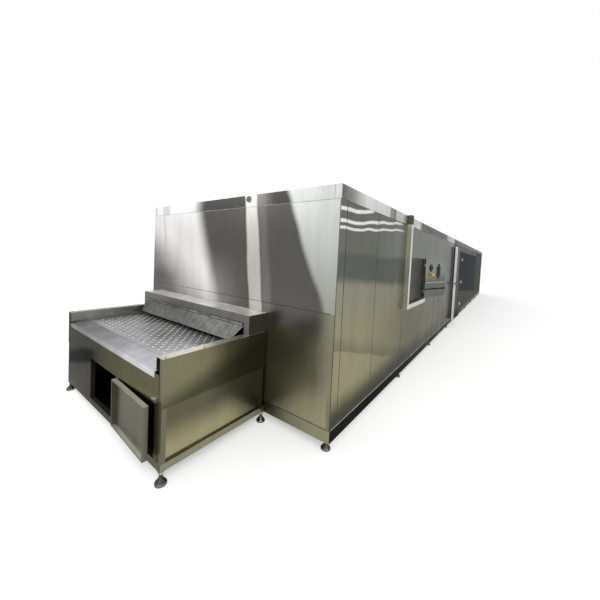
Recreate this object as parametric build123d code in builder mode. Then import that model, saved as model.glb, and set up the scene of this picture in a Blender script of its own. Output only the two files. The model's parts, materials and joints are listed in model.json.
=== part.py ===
from build123d import *
import math
import os

os.makedirs("parts", exist_ok=True)

# All sizes are in millimetres. +Z is up and the machine stands on Z = 0.
# The belt runs along Y: the infeed end is at -Y, the outfeed end at +Y,
# and the control side is at +X. The origin is the middle of the footprint.

# Insulated housing
housing_width = 3000
housing_length = 16000
ground_clearance = 91
wall_thickness = 120
roof_thickness = 115
skirt_height = 110
floor_thickness = 100
panel_pitch = 1030
first_panel = 730
panel_joint = 0.6
front_seam_height = 1175
sheet = 3

# Flashing strips and corner angles on the housing
trim_thickness = 2.5
trim_strip_length = 1165
trim_joint = 0.8
trim_top_width = 60
corner_angle_width = 25
corner_angle_thickness = 1.5
vent_radius = 28
vent_reach = 18
vent_from_centre = 440
vent_below_top = 35

# Levelling feet
foot_radius = 43
foot_pad_height = 14
foot_neck_radius = 14
foot_sides = 12
foot_bell_height = 34
housing_foot_pitch = 1950
housing_foot_inset = 60

# Infeed and outfeed tables
table_width = 2070
table_wall_gap = 77
table_length = 1054
table_base = 95
table_top = 896
post_size = 38
bottom_rail_height = 57
tray_fit = 0.3
table_joint_gap = 12

# Side guards: one folded sheet each, with a recessed panel below
guard_bottom = 545
guard_flange = 85
guard_inner_height = 93
guard_ledge = 12
side_panel_recess = 22

# End panel, its two service bays and the hatch
end_panel_top = 775
bay_left = 714
bay_right = 96
bay_top = 550
reveal_depth = 38
centre_post_width = 40
centre_post_from_right = 746
hatch_width = 620
hatch_height = 393
hatch_rim = 36
hatch_lip = 10
hatch_clearance = 6
hatch_ajar = 2.5
hatch_axis_gap = 14
cover_lap = 12

# Belt, rollers and bed
belt_level = 800
belt_thickness = 8
belt_side_gap = 6
slat_pitch = 144
slat_groove = 4
slat_groove_depth = 3
dimple_radius = 12
dimple_height = 4
dimple_sides = 6
dimple_taper = 50
dimple_pitch = 94
dimple_rows_per_slat = 3
dimpled_length = 630
roller_radius = 92
roller_from_edge = 169
shaft_radius = 25
running_gap = 0.3
bearing_radius = 48
bearing_width = 30
side_beam_height = 60
side_beam_width = 38
side_beam_level = 670
bed_channel_height = 80
bed_channel_width = 45
bed_channel_wall = 6
bed_channel_inset = 40
wear_strip_width = 40
wear_strip_height = 12
wear_strip_count = 5
bed_cross_pitch = 1000
bed_cross_size = 40
bed_leg_size = 50
bed_leg_pitch = 3000
roller_play = 40

# Apron
apron_lip = 42
apron_level = 785
apron_end_drop = 10
apron_overlap = 16

# Hood and its deflector flap
hood_depth = 228
hood_inset = 24
hood_top = 1072
hood_front_edge = 965
flap_flange = 22
flap_bottom = 840
flap_lean = 100
flap_end_cut = 75
flap_bead = 6
flap_dent_place = 1050
flap_dent_width = 90
flap_dent_rise = 9
throat_bottom = 560
throat_top = 985

# Access door on the control side
door_near = 6040
door_width = 950
door_height = 1830
door_bottom = 211
roof_over_door = 199
door_overlap = 45
door_frame_width = 40
door_frame_thickness = 12
door_clearance = 5
gasket_width = 34
gasket_thickness = 28
gasket_inset = 14
leaf_thickness = 50
door_axis_gap = 30
door_axis_rise = 5
strap_thickness = 6
strap_height = 60
strap_length = 230
hinge_pin_radius = 6
hinge_knuckle_radius = 12
hinge_lug_height = 14
hinge_from_end = 310
latch_level = 1130
latch_height = 46
latch_reach = 52
latch_thickness = 12
strike_width = 40
strike_rise = 58
handle_radius = 8
handle_stand_off = 46
handle_length = 150

# Control cabinet let into the wall
cabinet_near = 2100
cabinet_length = 1600
cabinet_bottom = 1050
cabinet_height = 640
cabinet_depth = 85
cabinet_lip = 14
cabinet_sheet = 4
cabinet_fit = 0.3
cover_thickness = 6
cover_margin = 4
control_door_width = 750
control_door_depth = 22
control_door_sheet = 3
control_door_gap = 6
control_door_ajar = 14
control_axis_gap = 10

# Small pin hinges of the hatch and the control door
small_pin_radius = 3
small_knuckle_radius = 5
small_knuckle_height = 24

# Controls on the control door, measured from its hinge axis and the floor
lamp_count = 10
lamp_first = 64
lamp_pitch = 71.5
lamp_level = 1300
lamp_radius = 11
lamp_sides = 12
lamp_reach = 9
knob_level = 1190
knob_radius = 15
knob_sides = 12
knob_reach = 24
stop_place = 208
stop_level = 1430
stop_base_radius = 34
stop_base_height = 10
stop_neck_radius = 13
stop_cap_radius = 22
stop_reach = 40
small_display_place = 193
small_display_level = 1540
small_display_width = 110
small_display_height = 46
display_reach = 8
meter_place = 465
meter_count = 4
meter_width = 120
meter_height = 34
meter_pitch = 41
meter_bottom = 1400
lock_place = 690
lock_level = 1095
lock_radius = 12
lock_reach = 14

# Cable duct down the wall to the cabinet
duct_near = 1880
duct_width = 70
duct_depth = 62
duct_bottom = 990
duct_cap_wall = 6
duct_cap_hook = 40

# The farthest reach of each side sets where the origin lies
ajar = math.radians(control_door_ajar)
hatch_angle = math.radians(hatch_ajar)
control_axis_out = cabinet_lip + control_door_gap + control_door_depth / 2
last_knob = lamp_first + lamp_pitch * (lamp_count - 1)
control_reach = (
    control_axis_out
    + (last_knob + knob_radius) * math.sin(ajar)
    + (control_door_depth / 2 + knob_reach) * math.cos(ajar)
)
hatch_axis_out = hatch_clearance + hatch_axis_gap
hatch_reach = (
    hatch_axis_out
    + (hatch_axis_gap + hatch_width) * math.sin(hatch_angle)
    + (hatch_rim - hatch_axis_gap) * math.cos(hatch_angle)
)
side_shift = (trim_thickness - control_reach) / 2
length_shift = (hatch_reach - hatch_rim) / 2

# Main planes of the housing
housing_top = door_bottom + door_height + roof_over_door
wall_right = side_shift + housing_width / 2
wall_left = side_shift - housing_width / 2
front_face = length_shift - housing_length / 2
rear_face = length_shift + housing_length / 2
walls_bottom = ground_clearance + skirt_height
walls_top = housing_top - roof_thickness
wall_height = walls_top - walls_bottom
walls_middle = (walls_top + walls_bottom) / 2

# Main planes of the tables
table_left = wall_left + wall_thickness + table_wall_gap
table_centre = table_left + table_width / 2
table_right = table_left + table_width
table_front = front_face - table_length
bottom_rail_top = table_base + bottom_rail_height

# Belt
belt_width = table_width - 2 * (guard_flange + guard_ledge + belt_side_gap)
nose_radius = roller_radius + belt_thickness
roller_level = belt_level - nose_radius
roller_front = table_front + roller_from_edge
roller_rear = 2 * length_shift - roller_front


def save(part, name):
    """Name a finished piece and write it to its own file."""
    part.label = name
    export_step(part, f"parts/{name}.step")


def at_outfeed(part):
    """The outfeed twin of an infeed piece, mirrored about the middle of the housing."""
    return mirror(part, about=Plane.XZ.offset(-length_shift))


def panel_spans(start, end, first):
    """Near and far joints of the wall panels between two places along the wall."""
    joints = [start, start + first]
    while joints[-1] + panel_pitch < end:
        joints.append(joints[-1] + panel_pitch)
    joints.append(end)
    return list(zip(joints[:-1], joints[1:]))


def bell_foot(height):
    """A levelling foot with a pad, a bell and a neck, standing on Z = 0."""
    bell_top = foot_pad_height + foot_bell_height
    with BuildPart() as foot:
        with BuildSketch():
            RegularPolygon(foot_radius, foot_sides)
        extrude(amount=foot_pad_height)
        with BuildSketch(Plane.XY.offset(foot_pad_height)):
            RegularPolygon(foot_radius, foot_sides)
        with BuildSketch(Plane.XY.offset(bell_top)):
            RegularPolygon(foot_neck_radius, foot_sides)
        loft()
        with BuildSketch(Plane.XY.offset(bell_top)):
            RegularPolygon(foot_neck_radius, foot_sides)
        extrude(amount=height - bell_top)
    return foot.part


# Skirt rails under the walls
with BuildPart() as base_skirt:
    with BuildSketch(Plane.XY.offset(ground_clearance)):
        with Locations((side_shift, length_shift)):
            Rectangle(housing_width, housing_length)
            Rectangle(
                housing_width - 2 * wall_thickness,
                housing_length - 2 * wall_thickness,
                mode=Mode.SUBTRACT,
            )
    extrude(amount=skirt_height)
save(base_skirt.part, "base_skirt")

# Insulated floor between the skirt rails
with BuildPart() as housing_floor:
    with BuildSketch(Plane.XY.offset(ground_clearance)):
        with Locations((side_shift, length_shift)):
            Rectangle(
                housing_width - 2 * wall_thickness - panel_joint,
                housing_length - 2 * wall_thickness - panel_joint,
            )
    extrude(amount=floor_thickness)
save(housing_floor.part, "housing_floor")

# Roof slab
with BuildPart() as roof:
    with BuildSketch(Plane.XY.offset(walls_top)):
        with Locations((side_shift, length_shift)):
            Rectangle(housing_width, housing_length)
    extrude(amount=roof_thickness)
save(roof.part, "roof")

# Front wall: an upper panel over the seam, and below it two posts beside the belt's
# throat, a sill under it and a lintel over it
throat_left = table_left + guard_flange
throat_right = table_right - guard_flange
front_panels = (
    (wall_left, wall_right, front_seam_height + panel_joint, walls_top),
    (wall_left, throat_left - panel_joint, walls_bottom, front_seam_height),
    (throat_right + panel_joint, wall_right, walls_bottom, front_seam_height),
    (throat_left, throat_right, walls_bottom, throat_bottom),
    (throat_left, throat_right, throat_top, front_seam_height),
)
front_wall_middle = front_face + wall_thickness / 2
with BuildPart() as front_wall:
    for left, right, low, high in front_panels:
        with Locations(((left + right) / 2, front_wall_middle, (low + high) / 2)):
            Box(right - left, wall_thickness, high - low)
save(front_wall.part, "front_wall")
save(at_outfeed(front_wall.part), "rear_wall")

# Side walls: upright sandwich panels between the front and rear walls
side_start = front_face + wall_thickness
side_end = rear_face - wall_thickness
left_wall_middle = wall_left + wall_thickness / 2
right_wall_middle = wall_right - wall_thickness / 2
doorway_near = front_face + door_near + door_overlap
doorway_far = doorway_near + door_width - 2 * door_overlap
doorway_bottom = door_bottom + door_overlap
doorway_top = door_bottom + door_height - door_overlap
joints = panel_spans(side_start, side_end, first_panel)

with BuildPart() as left_wall:
    for near, far in joints:
        with Locations((left_wall_middle, (near + far) / 2, walls_middle)):
            Box(wall_thickness, far - near - panel_joint, wall_height)
save(left_wall.part, "left_wall")

# Control side, from the front corner to the duct
with BuildPart() as right_wall_front:
    for near, far in joints[:2]:
        with Locations((right_wall_middle, (near + far) / 2, walls_middle)):
            Box(wall_thickness, far - near - panel_joint, wall_height)
save(right_wall_front.part, "right_wall_front")

# Control side, the two panels that the control cabinet is let into
cabinet_y = front_face + cabinet_near
cabinet_middle = cabinet_y + cabinet_length / 2
cabinet_level = cabinet_bottom + cabinet_height / 2
with BuildPart() as right_wall_control_bay:
    for near, far in joints[2:4]:
        with Locations((right_wall_middle, (near + far) / 2, walls_middle)):
            Box(wall_thickness, far - near - panel_joint, wall_height)
    with BuildSketch(Plane.YZ.offset(wall_right)):
        with Locations((cabinet_middle, cabinet_level)):
            Rectangle(cabinet_length + 2 * cabinet_fit, cabinet_height + 2 * cabinet_fit)
    extrude(amount=-cabinet_depth - cabinet_fit, mode=Mode.SUBTRACT)
save(right_wall_control_bay.part, "right_wall_control_bay")

# Control side, up to the doorway
middle_joints = [joints[4], (joints[5][0], doorway_near)]
with BuildPart() as right_wall_middle_panels:
    for near, far in middle_joints:
        with Locations((right_wall_middle, (near + far) / 2, walls_middle)):
            Box(wall_thickness, far - near - panel_joint, wall_height)
save(right_wall_middle_panels.part, "right_wall_middle")

# Sill and lintel of the doorway
doorway_middle = (doorway_near + doorway_far) / 2
doorway_width = doorway_far - doorway_near
doorway_height = doorway_top - doorway_bottom
with BuildPart() as doorway_sill_lintel:
    for low, high in ((walls_bottom, doorway_bottom), (doorway_top, walls_top)):
        with Locations((right_wall_middle, doorway_middle, (low + high) / 2)):
            Box(wall_thickness, doorway_width - panel_joint, high - low)
save(doorway_sill_lintel.part, "doorway_sill_lintel")

# Control side, from the doorway to the rear corner
with BuildPart() as right_wall_rear:
    for near, far in panel_spans(doorway_far, side_end, panel_pitch):
        with Locations((right_wall_middle, (near + far) / 2, walls_middle)):
            Box(wall_thickness, far - near - panel_joint, wall_height)
save(right_wall_rear.part, "right_wall_rear")

# Flashing over the roof edges: strips along the sides and one piece across each end
strip_count = round(housing_length / trim_strip_length)
strip_pitch = housing_length / strip_count
end_trim_width = housing_width - 2 * trim_top_width - 2 * trim_joint
trim_over = housing_top + trim_thickness
with BuildPart() as roof_trim:
    for side in (-1, 1):
        edge = side_shift + side * housing_width / 2
        out = edge + side * trim_thickness
        back = edge - side * trim_top_width
        for index in range(strip_count):
            start = front_face + index * strip_pitch
            with BuildSketch(Plane.XZ.offset(-start - trim_joint / 2)):
                with BuildLine():
                    Polyline(
                        (edge, walls_top),
                        (out, walls_top),
                        (out, trim_over),
                        (back, trim_over),
                        (back, housing_top),
                        (edge, housing_top),
                        close=True,
                    )
                make_face()
            extrude(amount=-strip_pitch + trim_joint)
    for end in (-1, 1):
        edge = length_shift + end * housing_length / 2
        out = edge + end * trim_thickness
        back = edge - end * trim_top_width
        with BuildSketch(Plane.YZ.offset(side_shift - end_trim_width / 2)):
            with BuildLine():
                Polyline(
                    (edge, walls_top),
                    (out, walls_top),
                    (out, trim_over),
                    (back, trim_over),
                    (back, housing_top),
                    (edge, housing_top),
                    close=True,
                )
            make_face()
        extrude(amount=end_trim_width)
save(roof_trim.part, "roof_trim")

# Angles that cover the four upright corners
with BuildPart() as corner_angles:
    for side in (-1, 1):
        for end in (-1, 1):
            x = side_shift + side * housing_width / 2
            y = length_shift + end * housing_length / 2
            with BuildSketch(Plane.XY.offset(walls_bottom)):
                with BuildLine():
                    Polyline(
                        (x, y),
                        (x - side * corner_angle_width, y),
                        (x - side * corner_angle_width, y + end * corner_angle_thickness),
                        (x + side * corner_angle_thickness, y + end * corner_angle_thickness),
                        (x + side * corner_angle_thickness, y - end * corner_angle_width),
                        (x, y - end * corner_angle_width),
                        close=True,
                    )
                make_face()
            extrude(amount=wall_height)
save(corner_angles.part, "corner_angles")

# Round vent plug in the front flashing
with BuildPart() as vent_plug:
    with BuildSketch(Plane.XZ.offset(-front_face + trim_thickness)):
        with Locations((side_shift + vent_from_centre, housing_top - vent_below_top)):
            Circle(vent_radius)
    extrude(amount=vent_reach)
    chamfer(vent_plug.faces().sort_by(Axis.Y)[0].edges(), vent_reach / 4)
save(vent_plug.part, "vent_plug")

# Frame of the infeed table: posts, bottom rails, side beams and centre post
post_x = table_width / 2 - sheet - post_size / 2
post_front = table_front + sheet + post_size / 2
post_rear = front_face - post_size / 2
post_top = table_top - sheet
bay_edge_left = table_left + bay_left
bay_edge_right = table_right - bay_right
centre_post_x = table_right - centre_post_from_right
rail_length = table_length - sheet - 2 * post_size
rail_middle = (post_front + post_rear) / 2
with BuildPart() as infeed_frame:
    for x in (table_centre - post_x, table_centre + post_x):
        for y in (post_front, post_rear):
            with BuildSketch(Plane.XY.offset(ground_clearance)):
                with Locations((x, y)):
                    Rectangle(post_size, post_size)
            extrude(amount=post_top - ground_clearance)
        with Locations((x, rail_middle, table_base + bottom_rail_height / 2)):
            Box(post_size, rail_length, bottom_rail_height)
        with Locations((x, rail_middle, side_beam_level + side_beam_height / 2)):
            Box(side_beam_width, rail_length, side_beam_height)
    for y in (post_front, post_rear):
        with Locations((table_centre, y, table_base + bottom_rail_height / 2)):
            Box(2 * post_x - post_size, post_size, bottom_rail_height)
    with Locations((centre_post_x, post_front, (bottom_rail_top + bay_top) / 2)):
        Box(centre_post_width, post_size, bay_top - bottom_rail_top)
save(infeed_frame.part, "infeed_frame")
save(at_outfeed(infeed_frame.part), "outfeed_frame")

# Drip tray between the bottom rails, which closes the table from below
tray_width = 2 * post_x - post_size - 2 * tray_fit
tray_length = post_rear - post_front - post_size - 2 * tray_fit
with BuildPart() as infeed_drip_tray:
    with Locations((table_centre, rail_middle, table_base + sheet / 2)):
        Box(tray_width, tray_length, sheet)
save(infeed_drip_tray.part, "infeed_drip_tray")
save(at_outfeed(infeed_drip_tray.part), "outfeed_drip_tray")

# Levelling feet: two rows under the housing and four under each table
foot_steps = round((housing_length - 2 * housing_foot_inset) / housing_foot_pitch)
foot_spacing = (housing_length - 2 * housing_foot_inset) / foot_steps
foot = bell_foot(ground_clearance)
with BuildPart() as levelling_feet:
    with Locations((side_shift, length_shift)):
        with GridLocations(
            housing_width - 2 * housing_foot_inset, foot_spacing, 2, foot_steps + 1
        ):
            add(foot)
    for x in (table_centre - post_x, table_centre + post_x):
        for y in (post_front, post_rear):
            with Locations((x, y), (x, 2 * length_shift - y)):
                add(foot)
save(levelling_feet.part, "levelling_feet")

# End panel of the infeed table, with the service bays cut and their edges folded in
panel_side = table_width / 2 - sheet - post_size - panel_joint
bay_middle = (bay_edge_left + bay_edge_right) / 2
bay_width = bay_edge_right - bay_edge_left
with BuildPart() as infeed_end_panel:
    with BuildSketch(Plane.XZ.offset(-table_front)):
        with Locations((table_centre, (bottom_rail_top + end_panel_top) / 2)):
            Rectangle(2 * panel_side, end_panel_top - bottom_rail_top)
        with Locations((bay_middle, (bottom_rail_top + bay_top) / 2)):
            Rectangle(bay_width, bay_top - bottom_rail_top, mode=Mode.SUBTRACT)
    extrude(amount=-sheet)
    with BuildSketch(Plane.XZ.offset(-table_front - sheet)):
        with Locations((bay_middle, (bottom_rail_top + bay_top + sheet) / 2)):
            Rectangle(bay_width + 2 * sheet, bay_top + sheet - bottom_rail_top)
        with Locations((bay_middle, (bottom_rail_top + bay_top) / 2)):
            Rectangle(bay_width, bay_top - bottom_rail_top, mode=Mode.SUBTRACT)
        with Locations((centre_post_x, bay_top + sheet / 2)):
            Rectangle(centre_post_width, sheet, mode=Mode.SUBTRACT)
    extrude(amount=-reveal_depth)
save(infeed_end_panel.part, "infeed_end_panel")

# Side guards: each is one sheet folded over the post tops, with a ledge beside the belt
guard_rear = front_face - table_joint_gap
ledge_top = table_top - guard_inner_height
with BuildPart() as infeed_side_guards:
    for side in (-1, 1):
        outer = table_centre + side * table_width / 2
        inner = outer - side * guard_flange
        ledge = inner - side * guard_ledge
        with BuildSketch(Plane.XZ.offset(-table_front)):
            with BuildLine():
                Polyline(
                    (outer, guard_bottom),
                    (outer, table_top),
                    (inner, table_top),
                    (inner, ledge_top),
                    (ledge, ledge_top),
                    (ledge, ledge_top - sheet),
                    (inner + side * sheet, ledge_top - sheet),
                    (inner + side * sheet, table_top - sheet),
                    (outer - side * sheet, table_top - sheet),
                    (outer - side * sheet, guard_bottom),
                    close=True,
                )
            make_face()
        extrude(amount=table_front - guard_rear)
save(infeed_side_guards.part, "infeed_side_guards")
save(at_outfeed(infeed_side_guards.part), "outfeed_side_guards")

# Recessed lower side panels between the posts, folded out at the top
side_panel_length = rail_length - 2 * panel_joint
with BuildPart() as infeed_side_panels:
    for side in (-1, 1):
        outer = table_centre + side * table_width / 2
        flange = outer - side * sheet
        recess = outer - side * side_panel_recess
        with BuildSketch(Plane.XZ.offset(-rail_middle + side_panel_length / 2)):
            with BuildLine():
                Polyline(
                    (recess, bottom_rail_top),
                    (recess, guard_bottom),
                    (flange, guard_bottom),
                    (flange, guard_bottom + sheet),
                    (recess - side * sheet, guard_bottom + sheet),
                    (recess - side * sheet, bottom_rail_top),
                    close=True,
                )
            make_face()
        extrude(amount=-side_panel_length)
save(infeed_side_panels.part, "infeed_side_panels")
save(at_outfeed(infeed_side_panels.part), "outfeed_side_panels")

# Apron that leads onto the belt: lip, sloping plate and a small drop behind it
apron_half = table_width / 2 - guard_flange - guard_ledge - belt_side_gap
apron_rear = roller_front - apron_overlap
apron_high = belt_level + sheet
with BuildPart() as infeed_apron:
    with BuildSketch(Plane.YZ.offset(table_centre - apron_half)):
        with BuildLine():
            apron_line = Polyline(
                (table_front - sheet / 2, apron_level - apron_lip),
                (table_front - sheet / 2, apron_level),
                (apron_rear - apron_end_drop, apron_high + sheet),
                (apron_rear, apron_high),
            )
            offset(amount=sheet / 2, side=Side.BOTH)
        make_face()
    extrude(amount=2 * apron_half)
save(infeed_apron.part, "infeed_apron")
save(at_outfeed(infeed_apron.part), "outfeed_apron")

# Plate belt: one loop round both end rollers, grooved between its slats where it shows,
# with three staggered rows of dimples on each slat up to the hood
belt_start = table_centre - belt_width / 2
groove_count = round((front_face - hood_depth - roller_front) / slat_pitch) + 1
nose_grooves = 3
dimple_row = slat_pitch / dimple_rows_per_slat
dimple_rows = int(dimpled_length / dimple_row)
dimple_columns = int((belt_width - 2 * dimple_pitch / 2) / dimple_pitch)
with BuildPart() as conveyor_belt:
    with BuildSketch(Plane.YZ.offset(belt_start)):
        with Locations((length_shift, roller_level)):
            SlotCenterToCenter(roller_rear - roller_front, 2 * nose_radius)
            SlotCenterToCenter(roller_rear - roller_front, 2 * roller_radius, mode=Mode.SUBTRACT)
    extrude(amount=belt_width)
    for end, direction in ((roller_front, 1), (roller_rear, -1)):
        for index in range(groove_count):
            y = end + direction * (index + 0.5) * slat_pitch
            with Locations((table_centre, y, belt_level)):
                Box(belt_width, slat_groove, 2 * slat_groove_depth, mode=Mode.SUBTRACT)
        for index in range(nose_grooves):
            turn = -direction * (index + 0.5) * math.degrees(slat_pitch / nose_radius)
            around = Plane((table_centre, end, roller_level)).rotated((-turn, 0, 0))
            with Locations(around * Location((0, 0, nose_radius))):
                Box(belt_width, slat_groove, 2 * slat_groove_depth, mode=Mode.SUBTRACT)
    with BuildSketch(Plane.XY.offset(belt_level)):
        for end, direction in ((roller_front, 1), (roller_rear, -1)):
            for row in range(1, dimple_rows + 1):
                with Locations((table_centre, end + direction * row * dimple_row)):
                    with GridLocations(dimple_pitch, 1, dimple_columns - row % 2, 1):
                        RegularPolygon(dimple_radius, dimple_sides)
    extrude(amount=dimple_height, taper=dimple_taper)
save(conveyor_belt.part, "conveyor_belt")

# End rollers with their shafts
shaft_half = table_width / 2 - sheet - side_beam_width
with BuildPart() as end_rollers:
    for y in (roller_front, roller_rear):
        with BuildSketch(Plane((table_centre, y, roller_level), x_dir=(1, 0, 0), z_dir=(0, -1, 0))):
            with BuildLine():
                Polyline(
                    (-shaft_half, 0),
                    (-shaft_half, shaft_radius),
                    (-belt_width / 2, shaft_radius),
                    (-belt_width / 2, roller_radius - running_gap),
                    (belt_width / 2, roller_radius - running_gap),
                    (belt_width / 2, shaft_radius),
                    (shaft_half, shaft_radius),
                    (shaft_half, 0),
                    close=True,
                )
            make_face()
        revolve(axis=Axis((table_centre, y, roller_level), (1, 0, 0)))
save(end_rollers.part, "end_rollers")

# Bearings on the side beams that carry the roller shafts
with BuildPart() as roller_bearings:
    for y in (roller_front, roller_rear):
        for side in (-1, 1):
            x = table_centre + side * shaft_half
            with BuildSketch(Plane.YZ.offset(x)):
                with Locations((y, roller_level)):
                    Circle(bearing_radius)
                    Circle(shaft_radius + running_gap, mode=Mode.SUBTRACT)
            extrude(amount=-side * bearing_width)
save(roller_bearings.part, "roller_bearings")

# Belt bed: two channels, cross bars between them, wear strips on top and legs below
bed_start = roller_front + roller_radius + roller_play
bed_end = roller_rear - roller_radius - roller_play
bed_length = bed_end - bed_start
bed_top = belt_level - belt_thickness - wear_strip_height
bed_half = belt_width / 2 - bed_channel_inset
cross_count = round(bed_length / bed_cross_pitch)
cross_length = 2 * (bed_half - bed_channel_wall)
leg_count = round((housing_length - 2 * wall_thickness) / bed_leg_pitch)
floor_level = ground_clearance + floor_thickness
with BuildPart() as belt_bed:
    for side in (-1, 1):
        web = table_centre + side * bed_half
        with BuildSketch(Plane.XZ.offset(-bed_start)):
            with BuildLine():
                Polyline(
                    (web, bed_top),
                    (web - side * bed_channel_width, bed_top),
                    (web - side * bed_channel_width, bed_top - bed_channel_wall),
                    (web - side * bed_channel_wall, bed_top - bed_channel_wall),
                    (web - side * bed_channel_wall, bed_top - bed_channel_height + bed_channel_wall),
                    (web - side * bed_channel_width, bed_top - bed_channel_height + bed_channel_wall),
                    (web - side * bed_channel_width, bed_top - bed_channel_height),
                    (web, bed_top - bed_channel_height),
                    close=True,
                )
            make_face()
        extrude(amount=-bed_length)
    with Locations((table_centre, length_shift, bed_top - bed_channel_height / 2)):
        with GridLocations(1, (bed_length - 2 * bed_cross_size) / cross_count, 1, cross_count + 1):
            Box(cross_length, bed_cross_size, bed_channel_height - 2 * bed_channel_wall)
save(belt_bed.part, "belt_bed")

# Wear strips between the bed and the belt
strip_spacing = (2 * bed_half - bed_channel_width) / (wear_strip_count - 1)
with BuildPart() as wear_strips:
    with Locations((table_centre, length_shift, bed_top + wear_strip_height / 2)):
        with GridLocations(strip_spacing, 1, wear_strip_count, 1):
            Box(wear_strip_width, bed_length, wear_strip_height)
save(wear_strips.part, "wear_strips")

# Legs of the bed, outside the belt, with a bracket that reaches in to the channel
leg_x = belt_width / 2 + bed_leg_size / 2 + roller_play
leg_spacing = (housing_length - 2 * wall_thickness - bed_leg_pitch) / (leg_count - 1)
bracket_level = bed_top - bed_channel_height / 2
with BuildPart() as bed_legs:
    for side in (-1, 1):
        for index in range(leg_count):
            y = front_face + wall_thickness + bed_leg_pitch / 2 + index * leg_spacing
            with Locations((table_centre + side * leg_x, y, (floor_level + belt_level) / 2)):
                Box(bed_leg_size, bed_leg_size, belt_level - floor_level)
            reach = leg_x - bed_leg_size / 2 - bed_half
            with Locations((table_centre + side * (bed_half + reach / 2), y, bracket_level)):
                Box(reach, bed_leg_size, bed_channel_height)
save(bed_legs.part, "bed_legs")

# Hood over the belt where it enters the housing
hood_width = table_width - 2 * hood_inset
flap_half = table_width / 2 - guard_flange - guard_ledge
with BuildPart() as infeed_hood:
    with BuildSketch(Plane.XZ.offset(-front_face)):
        with Locations((table_centre, (table_top + hood_top) / 2)):
            Rectangle(hood_width, hood_top - table_top)
    extrude(amount=hood_depth)
    openings = infeed_hood.faces().filter_by(Axis.Y).sort_by(Axis.Y)[-1:]
    openings += infeed_hood.faces().sort_by(Axis.Z)[:1]
    offset(amount=-sheet, openings=openings)
    with BuildSketch(Plane.XZ.offset(-front_face + hood_depth - 2 * sheet)):
        with Locations((table_centre, (table_top + hood_front_edge) / 2)):
            Rectangle(2 * flap_half, hood_front_edge - table_top, mode=Mode.ADD)
    extrude(amount=3 * sheet, mode=Mode.SUBTRACT)
save(infeed_hood.part, "infeed_hood")

# Deflector flap: a flange with a rolled top edge on the hood, then a sheet that leans out
hood_front = front_face - hood_depth
with BuildPart() as infeed_flap:
    with BuildSketch(Plane.YZ.offset(table_centre - flap_half + panel_joint)):
        with BuildLine():
            Polyline(
                (hood_front - sheet / 2, hood_front_edge + flap_flange),
                (hood_front - sheet / 2, hood_front_edge),
                (hood_front - flap_lean, flap_bottom),
            )
            offset(amount=sheet / 2, side=Side.BOTH)
        make_face()
        with Locations((hood_front - flap_bead, hood_front_edge + flap_flange)):
            Circle(flap_bead)
    extrude(amount=2 * (flap_half - panel_joint))
    for side in (-1, 1):
        corner = table_centre + side * flap_half
        with BuildSketch(Plane.XZ.offset(-front_face)):
            with BuildLine():
                Polyline(
                    (corner + side * sheet, hood_front_edge),
                    (corner - side * flap_end_cut, flap_bottom - sheet),
                    (corner + side * sheet, flap_bottom - sheet),
                    close=True,
                )
            make_face()
        extrude(amount=hood_depth + 2 * flap_lean, mode=Mode.SUBTRACT)

# The lower edge of the infeed flap is knocked in at one place
dent_middle = table_left + flap_dent_place
with BuildPart() as dented_flap:
    add(infeed_flap.part)
    with BuildSketch(Plane.XZ.offset(-front_face)):
        with BuildLine():
            Polyline(
                (dent_middle - flap_dent_width / 2, flap_bottom - sheet),
                (dent_middle, flap_bottom + flap_dent_rise),
                (dent_middle + flap_dent_width / 2, flap_bottom - sheet),
                close=True,
            )
        make_face()
    extrude(amount=hood_depth + 2 * flap_lean, mode=Mode.SUBTRACT)
save(dented_flap.part, "infeed_flap")

# Hood and flap at the outfeed, as one node
with BuildPart() as outfeed_hood:
    add(at_outfeed(infeed_hood.part))
    add(at_outfeed(infeed_flap.part))
save(outfeed_hood.part, "outfeed_hood")

# Hatch of the right-hand service bay: a tray with folded rims, open to the outside,
# with two knuckles that turn on pins at the centre post
hatch_axis_x = centre_post_x
hatch_axis_y = table_front - hatch_axis_out
hatch_middle = (bottom_rail_top + bay_top) / 2
hatch_levels = (hatch_middle - hatch_height / 3, hatch_middle + hatch_height / 3)
hatch_frame = Plane(
    (hatch_axis_x, hatch_axis_y, 0),
    x_dir=(math.cos(hatch_angle), -math.sin(hatch_angle), 0),
    z_dir=(-math.sin(hatch_angle), -math.cos(hatch_angle), 0),
)
hatch_centre = hatch_axis_gap + hatch_width / 2
with BuildPart() as infeed_hatch:
    with BuildSketch(hatch_frame.offset(-hatch_axis_gap)):
        with Locations((hatch_centre, hatch_middle)):
            Rectangle(hatch_width, hatch_height)
    extrude(amount=hatch_rim)
    with BuildSketch(hatch_frame.offset(sheet - hatch_axis_gap)):
        with Locations((hatch_centre, hatch_middle)):
            Rectangle(hatch_width - 2 * sheet, hatch_height - 2 * sheet)
    extrude(amount=hatch_rim - 2 * sheet, mode=Mode.SUBTRACT)
    with BuildSketch(hatch_frame.offset(hatch_rim - hatch_axis_gap)):
        with Locations((hatch_centre, hatch_middle)):
            Rectangle(hatch_width - 2 * hatch_lip, hatch_height - 2 * hatch_lip)
    extrude(amount=-2 * sheet, mode=Mode.SUBTRACT)
    for level in hatch_levels:
        with BuildSketch(Plane.XY.offset(level - small_knuckle_height / 2)):
            with Locations((hatch_axis_x, hatch_axis_y)):
                Circle(small_knuckle_radius)
        extrude(amount=small_knuckle_height)
        with BuildSketch(hatch_frame.offset(-sheet / 2)):
            with Locations((hatch_axis_gap / 2, level)):
                Rectangle(hatch_axis_gap, small_knuckle_height)
        extrude(amount=sheet)
        with BuildSketch(Plane.XY.offset(level - small_knuckle_height / 2)):
            with Locations((hatch_axis_x, hatch_axis_y)):
                Circle(small_pin_radius + running_gap)
        extrude(amount=small_knuckle_height, mode=Mode.SUBTRACT)
save(infeed_hatch.part, "infeed_hatch")

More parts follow.
